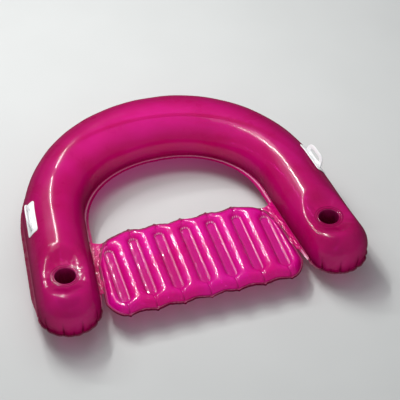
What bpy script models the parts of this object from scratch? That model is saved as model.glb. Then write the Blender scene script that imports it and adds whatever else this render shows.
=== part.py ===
"""Inflatable pool lounger: a U-shaped film tube with a channelled seat pad between its arms.

X runs across the arms, -Y is the open front, +Z is up. The origin lies on the floor, in the
middle of the outline. Each film is drawn as its outer face and given its thickness inwards.
"""

import bisect
import math

import bmesh
import bpy
from mathutils import Matrix, Vector

# Film and gaps
FILM = 0.0005                # thickness of every sheet
GAP = 0.0003                 # clearance between pieces that touch

# Tube: centreline of the U
ARCH_HALF_WIDTH = 0.412      # half width of the arch at the back, before the splay
ARCH_DEPTH = 0.400           # from the shoulders to the back
ARM_LENGTH = 0.374           # from the shoulders to the centre of the tips
SPLAY_SHARE = 0.100          # sideways drift of the arms for each length forwards
ARCH_POWER = 2.15            # 2 would be an ellipse, more is squarer
LOOP_POWER = 3.4             # the same for the handles' loops

# Tube: section
ARM_RADIUS = 0.110
BACK_RADIUS = 0.122
SEAM_HEIGHT = 0.075          # height of the welded seam's plane
TUBE_MARGIN = 0.020          # welded margin that stands out of the tube
REST_FLAT_DEPTH = 0.0005     # how far the floor presses the tube flat
CREASE_DEPTH = 0.0035        # pinch of the creases round the tips

# Cup wells
MOUTH_FROM_TIP = 0.067       # from the centre of the tip, along the arm
MOUTH_RADIUS = 0.038
MOUTH_DIP = 0.036            # how far the mouth lies below the crown of the arm
DIP_FLAT_RADIUS = 0.056      # flat ground of the dip
DIP_RADIUS = 0.108           # where the dip runs out
WELL_DEPTH = 0.115
WELL_WELD = 0.008            # welded ring at the top and foot of the sleeve

# Seat pad
SEAT_ISLAND_HALF_WIDTH = 0.016
SEAT_END_RIDGE = 0.038       # from the last island to the end seam, at the webs' front
SEAT_DEPTH = 0.375           # from front seam to rear seam
SEAT_TO_SHOULDER = 0.070     # from the rear seam back to the shoulders
SEAT_MARGIN = 0.010
SEAT_SCALLOP = 0.008         # how far the edge is drawn in between islands
ISLAND_FRONT_SPACE = 0.055   # from front seam to islands
ISLAND_REAR_SPACE = 0.040    # from rear seam to islands
REAR_CORNER_WIDTH = 0.125
REAR_CORNER_DEPTH = 0.115
FRONT_CORNER_WIDTH = 0.045
FRONT_CORNER_DEPTH = 0.055

# Webs between seat and arms
WEB_SPAN = 0.0327            # from the seat's seam to the arm's, at the web's front
WEB_LENGTH = 0.245
WEB_FROM_REAR_SEAM = 0.022
WEB_REAR_SLANT = 0.020       # how much further back the web starts at the arm
WEB_LAP_SPACE = 0.004        # from a seam to the web that laps its margin
WEB_HOLLOW = 0.012           # curve of the web's rear edge
WEB_WRINKLE = 0.0015

# Handles
HANDLE_PAD_LENGTH = 0.144
HANDLE_PAD_WIDTH = 0.052
HANDLE_PAD_THICKNESS = 0.0018
HANDLE_PAST_SHOULDER = 0.014  # centre of the pad, in front of the shoulders
HANDLE_ANGLE = 40            # degrees above the level of the tube's centre
LOOP_LENGTH = 0.104
LOOP_HEIGHT = 0.040          # above the film, along the loop
LOOP_THICKNESS = 0.0055
LOOP_LEAN = 28               # degrees that the loop leans from square towards the crown
LOOP_ROOT = 0.0009           # height in the pad at which the loop starts
SLOT_LENGTH = 0.064
SLOT_LOW = 0.0105
SLOT_HIGH = 0.0265

# Valves
VALVE_FLANGE_RADIUS = 0.0125
VALVE_FLANGE_THICKNESS = 0.0008
COLLAR_DEPTH = 0.0050
COLLAR_WALL = 0.0009
STEM_RADIUS = 0.0046
STEM_BORE_RADIUS = 0.0030
STEM_TRAVEL = 0.0120
STEM_LIP_RADIUS = 0.0066
STEM_LIP_THICKNESS = 0.0012
STEM_BEAD_RADIUS = 0.0061
STEM_BEAD_THICKNESS = 0.0014
STEM_STOP_SPACE = 0.0005     # left between bead and collar at full travel
PLUG_CAP_RADIUS = 0.0060
PLUG_CAP_THICKNESS = 0.0015
PLUG_SPIGOT_LENGTH = 0.0035
PLUG_SPIGOT_RADIUS = 0.0027
PLUG_SPIGOT_TIP_RADIUS = 0.0021
PLUG_HINGE_OFFSET = 0.0088   # from the valve's axis to the strap's bend
STRAP_WIDTH = 0.0050
STRAP_THICKNESS = 0.0010
STRAP_LUG_LENGTH = 0.0016
STRAP_STEP = 0.0001          # from the faces of lip and cap to those of tongue and strap
FLAP_RADIUS = 0.0042
FLAP_THICKNESS = 0.0006
CUT_OVERRUN = 0.010          # how far cutters reach past what they cut

# Counts
ARCH_FACETS = 21             # odd, so that one facet faces straight back
FACETS_TO_MOUTH = 3          # from a tip's centre
MOUTH_FACETS = 7
ARM_FACETS = 5
TIP_FACETS = 15
FACETS_PER_CREASE = 3
TOP_ROWS = 8
BOTTOM_ROWS = 4
TUBE_VALVE_ROW = 3           # row of the top film that carries the valve
ISLANDS = 7
SEAT_VALVE_RIDGE = 5         # ridge of the seat that carries the valve, from the left
ROUND_STEPS = 32
SMALL_STEPS = 20
LOOP_STEPS = 22
CURVE_STEPS = 400
PAD_STEPS = (14, 8)
WEB_STEPS = (12, 4)
SHARP_ANGLE = 40             # degrees between faces that keep a hard edge

# Shares
CREASE_HEIGHT_SHARE = 0.45   # part of the top film's height that the creases climb
RIDGE_SHARES = (0.2, 0.5, 0.8)
FRONT_ROLL_SHARES = (0.3, 0.7)
REAR_ROLL_SHARES = (0.5,)
END_RIDGE_SHARES = (0.35, 0.7, 1.0)
RISE_SHARE = 0.909           # the ridges' half thickness for each half width
VALVE_RIDGE_SHARE = 0.9      # of the ridge's half width, inside which its lines lie flat
SEAT_VALVE_PLACE_SHARE = 0.70  # of the seat's depth, from the front
SEAT_VALVE_FLAT_SHARE = 1.15   # half length of the valve's flat ground, in flange radii
PAD_CORNER_SHARES = (0.96, 0.90)

# Colours: red, green, blue, alpha
FILM_PINK = (0.78, 0.04, 0.36, 0.62)
SEAT_PINK = (0.86, 0.03, 0.42, 0.62)
SLEEVE_PURPLE = (0.45, 0.03, 0.25, 0.70)
HANDLE_WHITE = (0.90, 0.90, 0.90, 1.0)
VALVE_CLEAR = (0.88, 0.80, 0.85, 0.80)
FILM_ROUGHNESS = 0.08
MOULDED_ROUGHNESS = 0.35

SHEET_SPACE = GAP / 2        # each sheet's distance from the seam's plane
MARGIN_LEVEL = SHEET_SPACE + FILM


def clear_scene():
    for item in list(bpy.data.objects):
        bpy.data.objects.remove(item, do_unlink=True)


def material(name, colour, roughness):
    made = bpy.data.materials.new(name)
    made.use_nodes = True
    shader = made.node_tree.nodes["Principled BSDF"]
    shader.inputs["Base Color"].default_value = colour
    shader.inputs["Alpha"].default_value = colour[3]
    shader.inputs["Roughness"].default_value = roughness
    shader.inputs["Metallic"].default_value = 0
    made.diffuse_color = colour
    return made


def make_object(name, shape, paint=None, pivot=Matrix()):
    """Turns a bmesh into a named object with its origin at the pivot frame."""
    shape.transform(pivot.inverted())
    mesh = bpy.data.meshes.new(name)
    shape.to_mesh(mesh)
    shape.free()
    mesh.shade_smooth()
    mesh.set_sharp_from_angle(angle=math.radians(SHARP_ANGLE))
    made = bpy.data.objects.new(name, mesh)
    made.matrix_world = pivot
    bpy.context.collection.objects.link(made)
    if paint:
        mesh.materials.append(paint)
    return made


def give_thickness(item, thickness):
    """Thickens an outer face inwards, against its normals."""
    wall = item.modifiers.new("wall", "SOLIDIFY")
    wall.thickness = thickness
    wall.offset = -1
    wall.use_even_offset = True


def combine(item, other, operation):
    """Cuts or joins another closed shape, which is only a guide afterwards."""
    step = item.modifiers.new(operation.lower(), "BOOLEAN")
    step.operation = operation
    step.solver = "EXACT"
    step.object = other
    other.hide_render = True
    other.display_type = "WIRE"


def quad_strip(shape, here, there):
    for index in range(len(here) - 1):
        shape.faces.new((here[index], there[index], there[index + 1], here[index + 1]))


def face_out(shape, way):
    """Points an open sheet's normals up for way 1, or down for way -1."""
    bmesh.ops.recalc_face_normals(shape, faces=shape.faces)
    extreme = max(shape.faces, key=lambda face: way * face.calc_center_median().z)
    if extreme.normal.z * way < 0:
        bmesh.ops.reverse_faces(shape, faces=shape.faces)


def turned(profile, steps, frame):
    """Turns a profile of (radius, height) points about the frame's Z axis.

    A profile that starts and ends on the axis gives a solid, any other a closed ring.
    """
    shape = bmesh.new()
    on_axis = profile[0][0] == 0
    poles = {}
    rings = []
    for step in range(steps):
        angle = 2 * math.pi * step / steps
        ring = []
        for index, (radius, height) in enumerate(profile):
            place = Vector((radius * math.cos(angle), radius * math.sin(angle), height))
            if radius == 0:
                if index not in poles:
                    poles[index] = shape.verts.new(frame @ place)
                ring.append(poles[index])
            else:
                ring.append(shape.verts.new(frame @ place))
        rings.append(ring)
    pairs = list(range(len(profile) - 1))
    if not on_axis:
        pairs.append(-1)
    for here, there in zip(rings, rings[1:] + rings[:1]):
        for index in pairs:
            corners = (here[index], here[index + 1], there[index + 1], there[index])
            shape.faces.new(tuple(dict.fromkeys(corners)))
    bmesh.ops.recalc_face_normals(shape, faces=shape.faces)
    return shape


def bar(frame, width, start, end, low, high):
    """Straight bar along the frame's Y, from start to end, between two heights."""
    shape = bmesh.new()
    corners = bmesh.ops.create_cube(shape, size=1)["verts"]
    for corner in corners:
        across = width * corner.co.x
        along = start + (end - start) * (corner.co.y + 0.5)
        up = low + (high - low) * (corner.co.z + 0.5)
        corner.co = frame @ Vector((across, along, up))
    bmesh.ops.recalc_face_normals(shape, faces=shape.faces)
    return shape


# The U's centreline. A run is a signed distance along it from the back's middle,
# positive on the right.

def arch_and_arm():
    """Points of the right half, from the back's middle to the tip's centre."""
    points = []
    for step in range(CURVE_STEPS + 1):
        turn = math.pi / 2 * step / CURVE_STEPS
        across = ARCH_HALF_WIDTH * math.sin(turn) ** (2 / ARCH_POWER)
        back = ARCH_DEPTH * max(math.cos(turn), 0) ** (2 / ARCH_POWER)
        points.append((across, back))
    for step in range(1, CURVE_STEPS + 1):
        points.append((ARCH_HALF_WIDTH, -ARM_LENGTH * step / CURVE_STEPS))
    return [Vector((x + SPLAY_SHARE * (ARCH_DEPTH - y), y, 0)) for x, y in points]


HALF_CURVE = arch_and_arm()
HALF_RUN = [0]
for first, second in zip(HALF_CURVE, HALF_CURVE[1:]):
    HALF_RUN.append(HALF_RUN[-1] + (second - first).length)
SHOULDER_RUN = HALF_RUN[CURVE_STEPS]
TIP_RUN = HALF_RUN[-1]
MOUTH_RUN = TIP_RUN - MOUTH_FROM_TIP


def centre(run):
    """Point of the centreline at a run."""
    reach = min(abs(run), TIP_RUN)
    low = min(bisect.bisect_right(HALF_RUN, reach), len(HALF_RUN) - 1) - 1
    share = (reach - HALF_RUN[low]) / (HALF_RUN[low + 1] - HALF_RUN[low])
    place = HALF_CURVE[low].lerp(HALF_CURVE[low + 1], share)
    return Vector((math.copysign(place.x, run), place.y, 0))


def outward(run):
    """Level unit vector square to the centreline that points out of the U."""
    reach = (TIP_RUN - SHOULDER_RUN) / CURVE_STEPS
    along = centre(min(run + reach, TIP_RUN)) - centre(max(run - reach, -TIP_RUN))
    along.normalize()
    return Vector((-along.y, along.x, 0))


def radius_at(run):
    share = min(abs(run) / SHOULDER_RUN, 1)
    return ARM_RADIUS + (BACK_RADIUS - ARM_RADIUS) * math.cos(math.pi / 2 * share) ** 2


def seam_angle(radius):
    """How far the seam lies below the level of the tube's centre, in radians."""
    return math.asin((radius - REST_FLAT_DEPTH - SEAM_HEIGHT) / radius)


def seam_reach(radius):
    """Level distance from the centreline to the seam."""
    return radius * math.cos(seam_angle(radius))


REAR_END = ARCH_DEPTH + seam_reach(BACK_RADIUS) + TUBE_MARGIN
FRONT_END = ARM_LENGTH + seam_reach(ARM_RADIUS) + TUBE_MARGIN
SHIFT = Vector((0, (FRONT_END - REAR_END) / 2, 0))


def skin_point(run, angle, height=0):
    """Point above the tube's outer flank, at an angle above the level of its centre."""
    radius = radius_at(run)
    reach = radius + height
    flank = centre(run) + outward(run) * reach * math.cos(angle)
    return flank + SHIFT + Vector((0, 0, radius - REST_FLAT_DEPTH + reach * math.sin(angle)))


def mouth_centre(side):
    place = centre(side * MOUTH_RUN) + SHIFT
    return place + Vector((0, 0, 2 * ARM_RADIUS - REST_FLAT_DEPTH - MOUTH_DIP))


def dipped(place):
    """Draws the arm's crown down to a flat ground round each cup mouth."""
    for side in (-1, 1):
        mouth = mouth_centre(side)
        reach = math.hypot(place.x - mouth.x, place.y - mouth.y)
        share = (DIP_RADIUS - reach) / (DIP_RADIUS - DIP_FLAT_RADIUS)
        share = min(max(share, 0), 1)
        blend = share * share * (3 - 2 * share)
        place = place + Vector((0, 0, min(mouth.z - place.z, 0) * blend))
    return place


# The tube's two films

def stations():
    """Runs of the tube's cross sections, from the right tip to the left one."""
    fine = MOUTH_FROM_TIP / FACETS_TO_MOUTH
    arm = [TIP_RUN - fine * index for index in range(MOUTH_FACETS)]
    coarse = (arm[-1] - SHOULDER_RUN) / ARM_FACETS
    arm += [arm[-1] - coarse * (index + 1) for index in range(ARM_FACETS)]
    pace = 2 * SHOULDER_RUN / ARCH_FACETS
    arch = [SHOULDER_RUN - pace * (index + 1) for index in range(ARCH_FACETS - 1)]
    return arm + arch + [-run for run in reversed(arm)]


def tip_turn(run, start):
    """Columns that turn round a tip, from one side's direction to the other's."""
    columns = []
    for step in range(1, TIP_FACETS):
        turn = Matrix.Rotation(math.pi * step / TIP_FACETS, 3, "Z")
        pinch = CREASE_DEPTH if step % FACETS_PER_CREASE == 0 else 0
        columns.append((run, turn @ start, pinch))
    return columns


def outline_columns():
    """A (run, direction, pinch) for each column of faces, right round the outline."""
    runs = stations()
    columns = [(run, outward(run), 0) for run in runs]
    columns += tip_turn(-TIP_RUN, outward(-TIP_RUN))
    columns += [(run, -outward(run), 0) for run in reversed(runs)]
    columns += tip_turn(TIP_RUN, -outward(TIP_RUN))
    return columns


def top_angles(radius):
    """From the seam up to the crown."""
    seam = seam_angle(radius)
    step = (math.pi / 2 + seam) / TOP_ROWS
    return [-seam + step * row for row in range(TOP_ROWS + 1)]


def bottom_angles(radius):
    """From the seam down to the edge of the rest flat, then to its middle."""
    seam = seam_angle(radius)
    flat = math.asin((radius - REST_FLAT_DEPTH) / radius)
    step = (flat - seam) / BOTTOM_ROWS
    return [-seam - step * row for row in range(BOTTOM_ROWS + 1)] + [-math.pi / 2]


def column_points(column, angles, way):
    """The margin's edge, the seam, and on along the section to its middle."""
    run, direction, pinch = column
    radius = radius_at(run)
    base = centre(run) + SHIFT
    margin_height = SEAM_HEIGHT + way * MARGIN_LEVEL
    edge = base + direction * (seam_reach(radius) + TUBE_MARGIN - pinch)
    points = [edge + Vector((0, 0, margin_height))]
    for index, angle in enumerate(angles(radius)):
        climb = abs(angle + seam_angle(radius)) / (math.pi / 2)
        fade = max(1 - climb / CREASE_HEIGHT_SHARE, 0)
        reach = (radius - pinch * fade) * math.cos(angle)
        height = max(radius - REST_FLAT_DEPTH + radius * math.sin(angle), 0)
        if index == 0:
            height = margin_height
        points.append(base + direction * reach + Vector((0, 0, height)))
    return points


def tube_film(name, angles, way, paint):
    """One of the tube's films, with its welded margin all round."""
    shape = bmesh.new()
    columns = []
    for column in outline_columns():
        points = column_points(column, angles, way)
        if way > 0:
            points = [dipped(point) for point in points]
        columns.append([shape.verts.new(point) for point in points])
    for here, there in zip(columns, columns[1:] + columns[:1]):
        quad_strip(shape, here, there)
    bmesh.ops.remove_doubles(shape, verts=shape.verts, dist=SHEET_SPACE)
    face_out(shape, way)
    film = make_object(name, shape, paint)
    give_thickness(film, FILM)
    return film


def arm_inner_line(side):
    """The inner seam of one arm, from the back's middle to the tip."""
    runs = [run for run in stations() if run * side > 0]
    if side > 0:
        runs.reverse()
    return [centre(run) - outward(run) * seam_reach(radius_at(run)) + SHIFT for run in runs]


def crossing(line, y):
    """X at which a line that runs forwards reaches a Y."""
    for here, there in zip(line, line[1:]):
        if here.y >= y > there.y:
            return here.lerp(there, (here.y - y) / (here.y - there.y)).x
    return line[-1].x


# The cup wells

def cup_well(side, word, top_film, paint):
    """Sleeve and floor of one well, and the mouth through the top film."""
    mouth = mouth_centre(side)
    frame = Matrix.Translation(mouth)
    cutter = turned([(0, CUT_OVERRUN), (MOUTH_RADIUS, CUT_OVERRUN),
                     (MOUTH_RADIUS, -CUT_OVERRUN), (0, -CUT_OVERRUN)], ROUND_STEPS, frame)
    combine(top_film, make_object("cutter_mouth_" + word, cutter), "DIFFERENCE")
    top = -FILM - GAP
    foot = top - WELL_DEPTH
    bore = MOUTH_RADIUS
    weld = MOUTH_RADIUS + WELL_WELD
    sleeve = [(bore, top), (weld, top), (weld, top - FILM), (bore + FILM, top - FILM),
              (bore + FILM, foot + FILM), (weld, foot + FILM), (weld, foot), (bore, foot)]
    make_object("cup_sleeve_" + word, turned(sleeve, ROUND_STEPS, frame), paint)
    floor = foot - GAP
    disc = [(0, floor), (weld, floor), (weld, floor - FILM), (0, floor - FILM)]
    make_object("cup_floor_" + word, turned(disc, ROUND_STEPS, frame), paint)


# The seat pad fills the room between the arms, less the webs. Its nominal half width is at
# the webs' front; its ends splay with the arms.

SEAT_REAR = -SEAT_TO_SHOULDER + SHIFT.y
SEAT_FRONT = SEAT_REAR - SEAT_DEPTH
WEB_REAR = SEAT_REAR - WEB_FROM_REAR_SEAM
WEB_FRONT = WEB_REAR - WEB_LENGTH
SEAT_HALF_WIDTH = crossing(arm_inner_line(1), WEB_FRONT) - WEB_SPAN
LAST_ISLAND = SEAT_HALF_WIDTH - SEAT_END_RIDGE - SEAT_ISLAND_HALF_WIDTH
SEAT_PITCH = 2 * LAST_ISLAND / (ISLANDS - 1)
RIDGE_HALF_WIDTH = SEAT_PITCH / 2 - SEAT_ISLAND_HALF_WIDTH
SEAT_RISE = RIDGE_HALF_WIDTH * RISE_SHARE
SEAT_VALVE_X = SEAT_PITCH * (SEAT_VALVE_RIDGE + 1 - ISLANDS / 2)
SEAT_VALVE_Y = SEAT_FRONT + SEAT_DEPTH * SEAT_VALVE_PLACE_SHARE
SEAT_VALVE_GROUND = VALVE_FLANGE_RADIUS * SEAT_VALVE_FLAT_SHARE


def corner_cut(across, width, depth):
    """How far a round corner draws an edge in, and the edge's slope there."""
    share = max((abs(across) - SEAT_HALF_WIDTH + width) / width, 0)
    return depth * share ** 2, 2 * depth * share / width


def rear_seam(across):
    return SEAT_REAR - corner_cut(across, REAR_CORNER_WIDTH, REAR_CORNER_DEPTH)[0]


def front_seam(across):
    return SEAT_FRONT + corner_cut(across, FRONT_CORNER_WIDTH, FRONT_CORNER_DEPTH)[0]


def scallop(across):
    """How far the edge is drawn in: none at an island, most at a ridge."""
    return SEAT_SCALLOP * (1 - math.cos(2 * math.pi * across / SEAT_PITCH)) / 2


def splayed(across, y):
    """Moves the end ridges sideways, so that the end seams run beside the arms."""
    edge = LAST_ISLAND + SEAT_ISLAND_HALF_WIDTH
    share = max(abs(across) - edge, 0) / SEAT_END_RIDGE
    return across + math.copysign(share, across) * SPLAY_SHARE * (WEB_FRONT - y)


def seat_lines_across():
    """Nominal X of the seat's columns of points, from left to right."""
    lines = []
    for index in range(ISLANDS):
        middle = SEAT_PITCH * index - LAST_ISLAND
        lines += [middle - SEAT_ISLAND_HALF_WIDTH, middle, middle + SEAT_ISLAND_HALF_WIDTH]
        if index < ISLANDS - 1:
            lines += [lines[-1] + 2 * RIDGE_HALF_WIDTH * share for share in RIDGE_SHARES]
    ends = [lines[-1] + SEAT_END_RIDGE * share for share in END_RIDGE_SHARES]
    return [-line for line in reversed(ends)] + lines + ends


def valve_row_shares():
    """Where the edges of the valve's flat ground lie along an island, as shares."""
    front, rear = front_seam(SEAT_VALVE_X), rear_seam(SEAT_VALVE_X)
    scale = (rear - front) / SEAT_DEPTH
    low = front + ISLAND_FRONT_SPACE * scale
    high = rear - ISLAND_REAR_SPACE * scale
    edges = (SEAT_VALVE_Y - SEAT_VALVE_GROUND, SEAT_VALVE_Y + SEAT_VALVE_GROUND)
    return [(edge - low) / (high - low) for edge in edges]


def seat_rows(across, with_valve):
    """Y of one column's points, from the front seam to the rear seam."""
    front, rear = front_seam(across), rear_seam(across)
    scale = (rear - front) / SEAT_DEPTH
    front_tip = front + ISLAND_FRONT_SPACE * scale
    rear_tip = rear - ISLAND_REAR_SPACE * scale
    front += scallop(across)
    rear -= scallop(across)
    rows = [front] + [front + (front_tip - front) * share for share in FRONT_ROLL_SHARES]
    rows += [front_tip, front_tip + SEAT_ISLAND_HALF_WIDTH * scale]
    if with_valve:
        island = rear_tip - front_tip
        rows += [front_tip + island * share for share in valve_row_shares()]
    rows += [rear_tip - SEAT_ISLAND_HALF_WIDTH * scale, rear_tip]
    return rows + [rear_tip + (rear - rear_tip) * share for share in REAR_ROLL_SHARES] + [rear]


def island_space(across, y):
    """Distance from a point to the nearest weld island's outline."""
    nearest = round((across + LAST_ISLAND) / SEAT_PITCH)
    middle = SEAT_PITCH * min(max(nearest, 0), ISLANDS - 1) - LAST_ISLAND
    front, rear = front_seam(middle), rear_seam(middle)
    scale = (rear - front) / SEAT_DEPTH
    low = front + (ISLAND_FRONT_SPACE + SEAT_ISLAND_HALF_WIDTH) * scale
    high = rear - (ISLAND_REAR_SPACE + SEAT_ISLAND_HALF_WIDTH) * scale
    past = max(low - y, y - high, 0)
    return math.hypot(across - middle, past) - SEAT_ISLAND_HALF_WIDTH


def seat_rise(across, y):
    """Half thickness of the pad: round ridges between the welds."""
    front_slope = corner_cut(across, FRONT_CORNER_WIDTH, FRONT_CORNER_DEPTH)[1]
    rear_slope = corner_cut(across, REAR_CORNER_WIDTH, REAR_CORNER_DEPTH)[1]
    to_front = (y - front_seam(across) - scallop(across)) / math.hypot(1, front_slope)
    to_rear = (rear_seam(across) - scallop(across) - y) / math.hypot(1, rear_slope)
    place = splayed(across, y)
    to_end = splayed(SEAT_HALF_WIDTH, y) - abs(place)
    space = max(min(to_front, to_rear, to_end, island_space(place, y)), 0)
    share = min(space / RIDGE_HALF_WIDTH, 1)
    return SEAT_RISE * math.sqrt(1 - (1 - share) ** 2)


def valve_ground():
    """Rise of the flat ground under the seat's valve."""
    edge = SEAT_VALVE_X + 2 * RIDGE_HALF_WIDTH * (RIDGE_SHARES[0] - 0.5)
    return seat_rise(edge, SEAT_VALVE_Y)


def seat_film(name, way, with_valve, paint):
    """One of the seat's films: ridges, weld islands and a margin all round."""
    shape = bmesh.new()
    grid = []
    for across in seat_lines_across():
        column = []
        for y in seat_rows(across, with_valve):
            rise = seat_rise(across, y)
            on_ridge = abs(across - SEAT_VALVE_X) < RIDGE_HALF_WIDTH * VALVE_RIDGE_SHARE
            if with_valve and on_ridge and abs(y - SEAT_VALVE_Y) < 2 * SEAT_VALVE_GROUND:
                rise = valve_ground()
            height = SEAM_HEIGHT + way * (MARGIN_LEVEL + rise)
            column.append(shape.verts.new((splayed(across, y), y, height)))
        grid.append(column)
    for here, there in zip(grid, grid[1:]):
        quad_strip(shape, here, there)
    rim = [column[0] for column in grid] + grid[-1][1:]
    rim += [column[-1] for column in reversed(grid[:-1])] + list(reversed(grid[0][1:-1]))
    margin = []
    for index, corner in enumerate(rim):
        along = rim[(index + 1) % len(rim)].co - rim[index - 1].co
        out = Vector((along.y, -along.x, 0)).normalized()
        margin.append(shape.verts.new(corner.co + out * SEAT_MARGIN))
    for index in range(len(rim)):
        shape.faces.new((rim[index - 1], rim[index], margin[index], margin[index - 1]))
    face_out(shape, way)
    film = make_object(name, shape, paint)
    give_thickness(film, FILM)
    return film


def seat_end_line(side):
    """Line beside the seat's seam, from its rear edge round to its front corner."""
    lines = [line for line in seat_lines_across() if line * side > 0]
    if side < 0:
        lines.reverse()
    line = []
    for across in lines:
        y = rear_seam(across) - scallop(across)
        line.append(Vector((splayed(across, y), y, 0)))
    for y in reversed(seat_rows(lines[-1], False)[:-1]):
        line.append(Vector((splayed(lines[-1], y), y, 0)))
    moved = []
    for before, here, after in zip(line, line[1:], line[2:]):
        along = (after - before).normalized()
        moved.append(here + Vector((-along.y, along.x, 0)) * side * WEB_LAP_SPACE)
    return moved


def seat_web(side, word, paint):
    """Strip of film that laps the seat's end margin and the arm's inner margin."""
    shape = bmesh.new()
    seat, arm = seat_end_line(side), arm_inner_line(side)
    rows, columns = WEB_STEPS
    grid = []
    for row in range(rows + 1):
        y = WEB_REAR - WEB_LENGTH * row / rows
        y_far = y + WEB_REAR_SLANT * (1 - row / rows)
        height = SEAM_HEIGHT + MARGIN_LEVEL + GAP + FILM
        near = Vector((crossing(seat, y), y, height))
        far = Vector((crossing(arm, y_far) - side * WEB_LAP_SPACE, y_far, height))
        line = []
        for column in range(columns + 1):
            share = column / columns
            bow = math.sin(math.pi * share)
            hollow = WEB_HOLLOW * bow * max(1 - 2 * row / rows, 0)
            lift = WEB_WRINKLE * bow if row % 2 else 0
            line.append(shape.verts.new(near.lerp(far, share) + Vector((0, -hollow, lift))))
        grid.append(line)
    for here, there in zip(grid, grid[1:]):
        quad_strip(shape, here, there)
    face_out(shape, 1)
    web = make_object("seat_web_" + word, shape, paint)
    give_thickness(web, FILM)


# The handles

def row_angle(run):
    """Angle that one row of the top film's facets spans."""
    return (math.pi / 2 + seam_angle(radius_at(run))) / TOP_ROWS


def facet_point(run, row, height):
    """Point above the top film's flat facets, for a run and a row with a fraction."""
    runs = sorted(stations())
    low = bisect.bisect_right(runs, run) - 1
    share = (run - runs[low]) / (runs[low + 1] - runs[low])
    floor = math.floor(row)
    places = []
    for station in runs[low:low + 2]:
        seam = seam_angle(radius_at(station))
        ends = [skin_point(station, row_angle(station) * index - seam)
                for index in (floor, floor + 1)]
        places.append(ends[0].lerp(ends[1], row - floor))
    angle = row_angle(run) * row - seam_angle(radius_at(run))
    lift = skin_point(run, angle, height) - skin_point(run, angle)
    return places[0].lerp(places[1], share) + lift


def handle_middle(side):
    """Run of a handle's middle, and its row."""
    run = side * (SHOULDER_RUN + HANDLE_PAST_SHOULDER)
    return run, (math.radians(HANDLE_ANGLE) + seam_angle(radius_at(run))) / row_angle(run)


def handle_place(side, along, around, height):
    """Point over the flank at distances from the pad's middle and above the film."""
    run, row = handle_middle(side)
    return facet_point(run + along, row + around / (radius_at(run) * row_angle(run)), GAP + height)


def spread(length, steps, marks):
    """Even places from end to end, the nearest of them moved onto each mark."""
    places = [length * (step / steps - 1 / 2) for step in range(steps + 1)]
    for mark in marks:
        if places[0] < mark < places[-1]:
            nearest = min(range(1, steps), key=lambda index: abs(places[index] - mark))
            places[nearest] = mark
    return places


def handle_pad(side):
    """Plate that bends where the film's facets do."""
    shape = bmesh.new()
    run, middle_row = handle_middle(side)
    pace = radius_at(run) * row_angle(run)
    steps, rows = PAD_STEPS
    lines = spread(HANDLE_PAD_LENGTH, steps, [station - run for station in stations()])
    cross_lines = spread(HANDLE_PAD_WIDTH, rows,
                         [(index - middle_row) * pace for index in range(TOP_ROWS)])
    grid = []
    for along in lines:
        line = []
        for around in cross_lines:
            at_corner = along in (lines[0], lines[-1]) and around in (cross_lines[0], cross_lines[-1])
            draw_in = PAD_CORNER_SHARES if at_corner else (1, 1)
            place = handle_place(side, along * draw_in[0], around * draw_in[1],
                                 HANDLE_PAD_THICKNESS)
            line.append(shape.verts.new(place))
        grid.append(line)
    for here, there in zip(grid, grid[1:]):
        quad_strip(shape, here, there)
    face_out(shape, 1)
    return shape


def loop_place(side, along, height, through):
    """Point of the leaning loop: up along it, or rooted in the pad if its height is None."""
    run, row = handle_middle(side)
    angle = row_angle(run + along) * row - seam_angle(radius_at(run + along))
    out = outward(run + along)
    square = out * math.cos(angle) + Vector((0, 0, math.sin(angle)))
    crownward = Vector((0, 0, math.cos(angle))) - out * math.sin(angle)
    lean = math.radians(LOOP_LEAN)
    if height is None:
        reach = LOOP_ROOT * math.tan(lean) + through / math.cos(lean)
        return handle_place(side, along, 0, LOOP_ROOT) + crownward * reach
    rise = height * math.cos(lean) - through * math.sin(lean)
    reach = height * math.sin(lean) + through * math.cos(lean)
    return handle_place(side, along, 0, 0) + square * rise + crownward * reach


def strip(side, outline, thickness):
    """Closed solid in the loop's plane, from (along, low, high) lines across it."""
    shape = bmesh.new()
    rings = []
    for along, low, high in outline:
        corners = ((low, -1), (high, -1), (high, 1), (low, 1))
        rings.append([shape.verts.new(loop_place(side, along, height, half * thickness / 2))
                      for height, half in corners])
    for here, there in zip(rings, rings[1:]):
        quad_strip(shape, here + here[:1], there + there[:1])
    shape.faces.new(rings[0])
    shape.faces.new(rings[-1])
    bmesh.ops.recalc_face_normals(shape, faces=shape.faces)
    return shape


def arch_steps(length, power):
    """(place, height share) of an arch's points, evenly turned."""
    steps = []
    for step in range(1, LOOP_STEPS):
        turn = math.pi * (1 - step / LOOP_STEPS)
        along = math.copysign(abs(math.cos(turn)) ** (2 / power), math.cos(turn))
        steps.append((length / 2 * along, math.sin(turn) ** (2 / power)))
    return steps


def handle_loop(side):
    """Upright plate with an arched outline, rooted in the pad."""
    outline = [(along, None, LOOP_HEIGHT * share)
               for along, share in arch_steps(LOOP_LENGTH, LOOP_POWER)]
    return strip(side, outline, LOOP_THICKNESS)


def handle_slot(side):
    """Cutter for the oblong finger hole."""
    middle, half = (SLOT_HIGH + SLOT_LOW) / 2, (SLOT_HIGH - SLOT_LOW) / 2
    outline = [(along, middle - half * share, middle + half * share)
               for along, share in arch_steps(SLOT_LENGTH, LOOP_POWER)]
    return strip(side, outline, LOOP_THICKNESS + CUT_OVERRUN)


def handle(side, word, paint):
    grip = make_object("handle_" + word, handle_pad(side), paint)
    give_thickness(grip, HANDLE_PAD_THICKNESS)
    combine(grip, make_object("guide_loop_" + word, handle_loop(side)), "UNION")
    combine(grip, make_object("cutter_slot_" + word, handle_slot(side)), "DIFFERENCE")


# The valves. In a valve's frame Z points out of the film, and plug and flap hinge at +Y.

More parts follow.
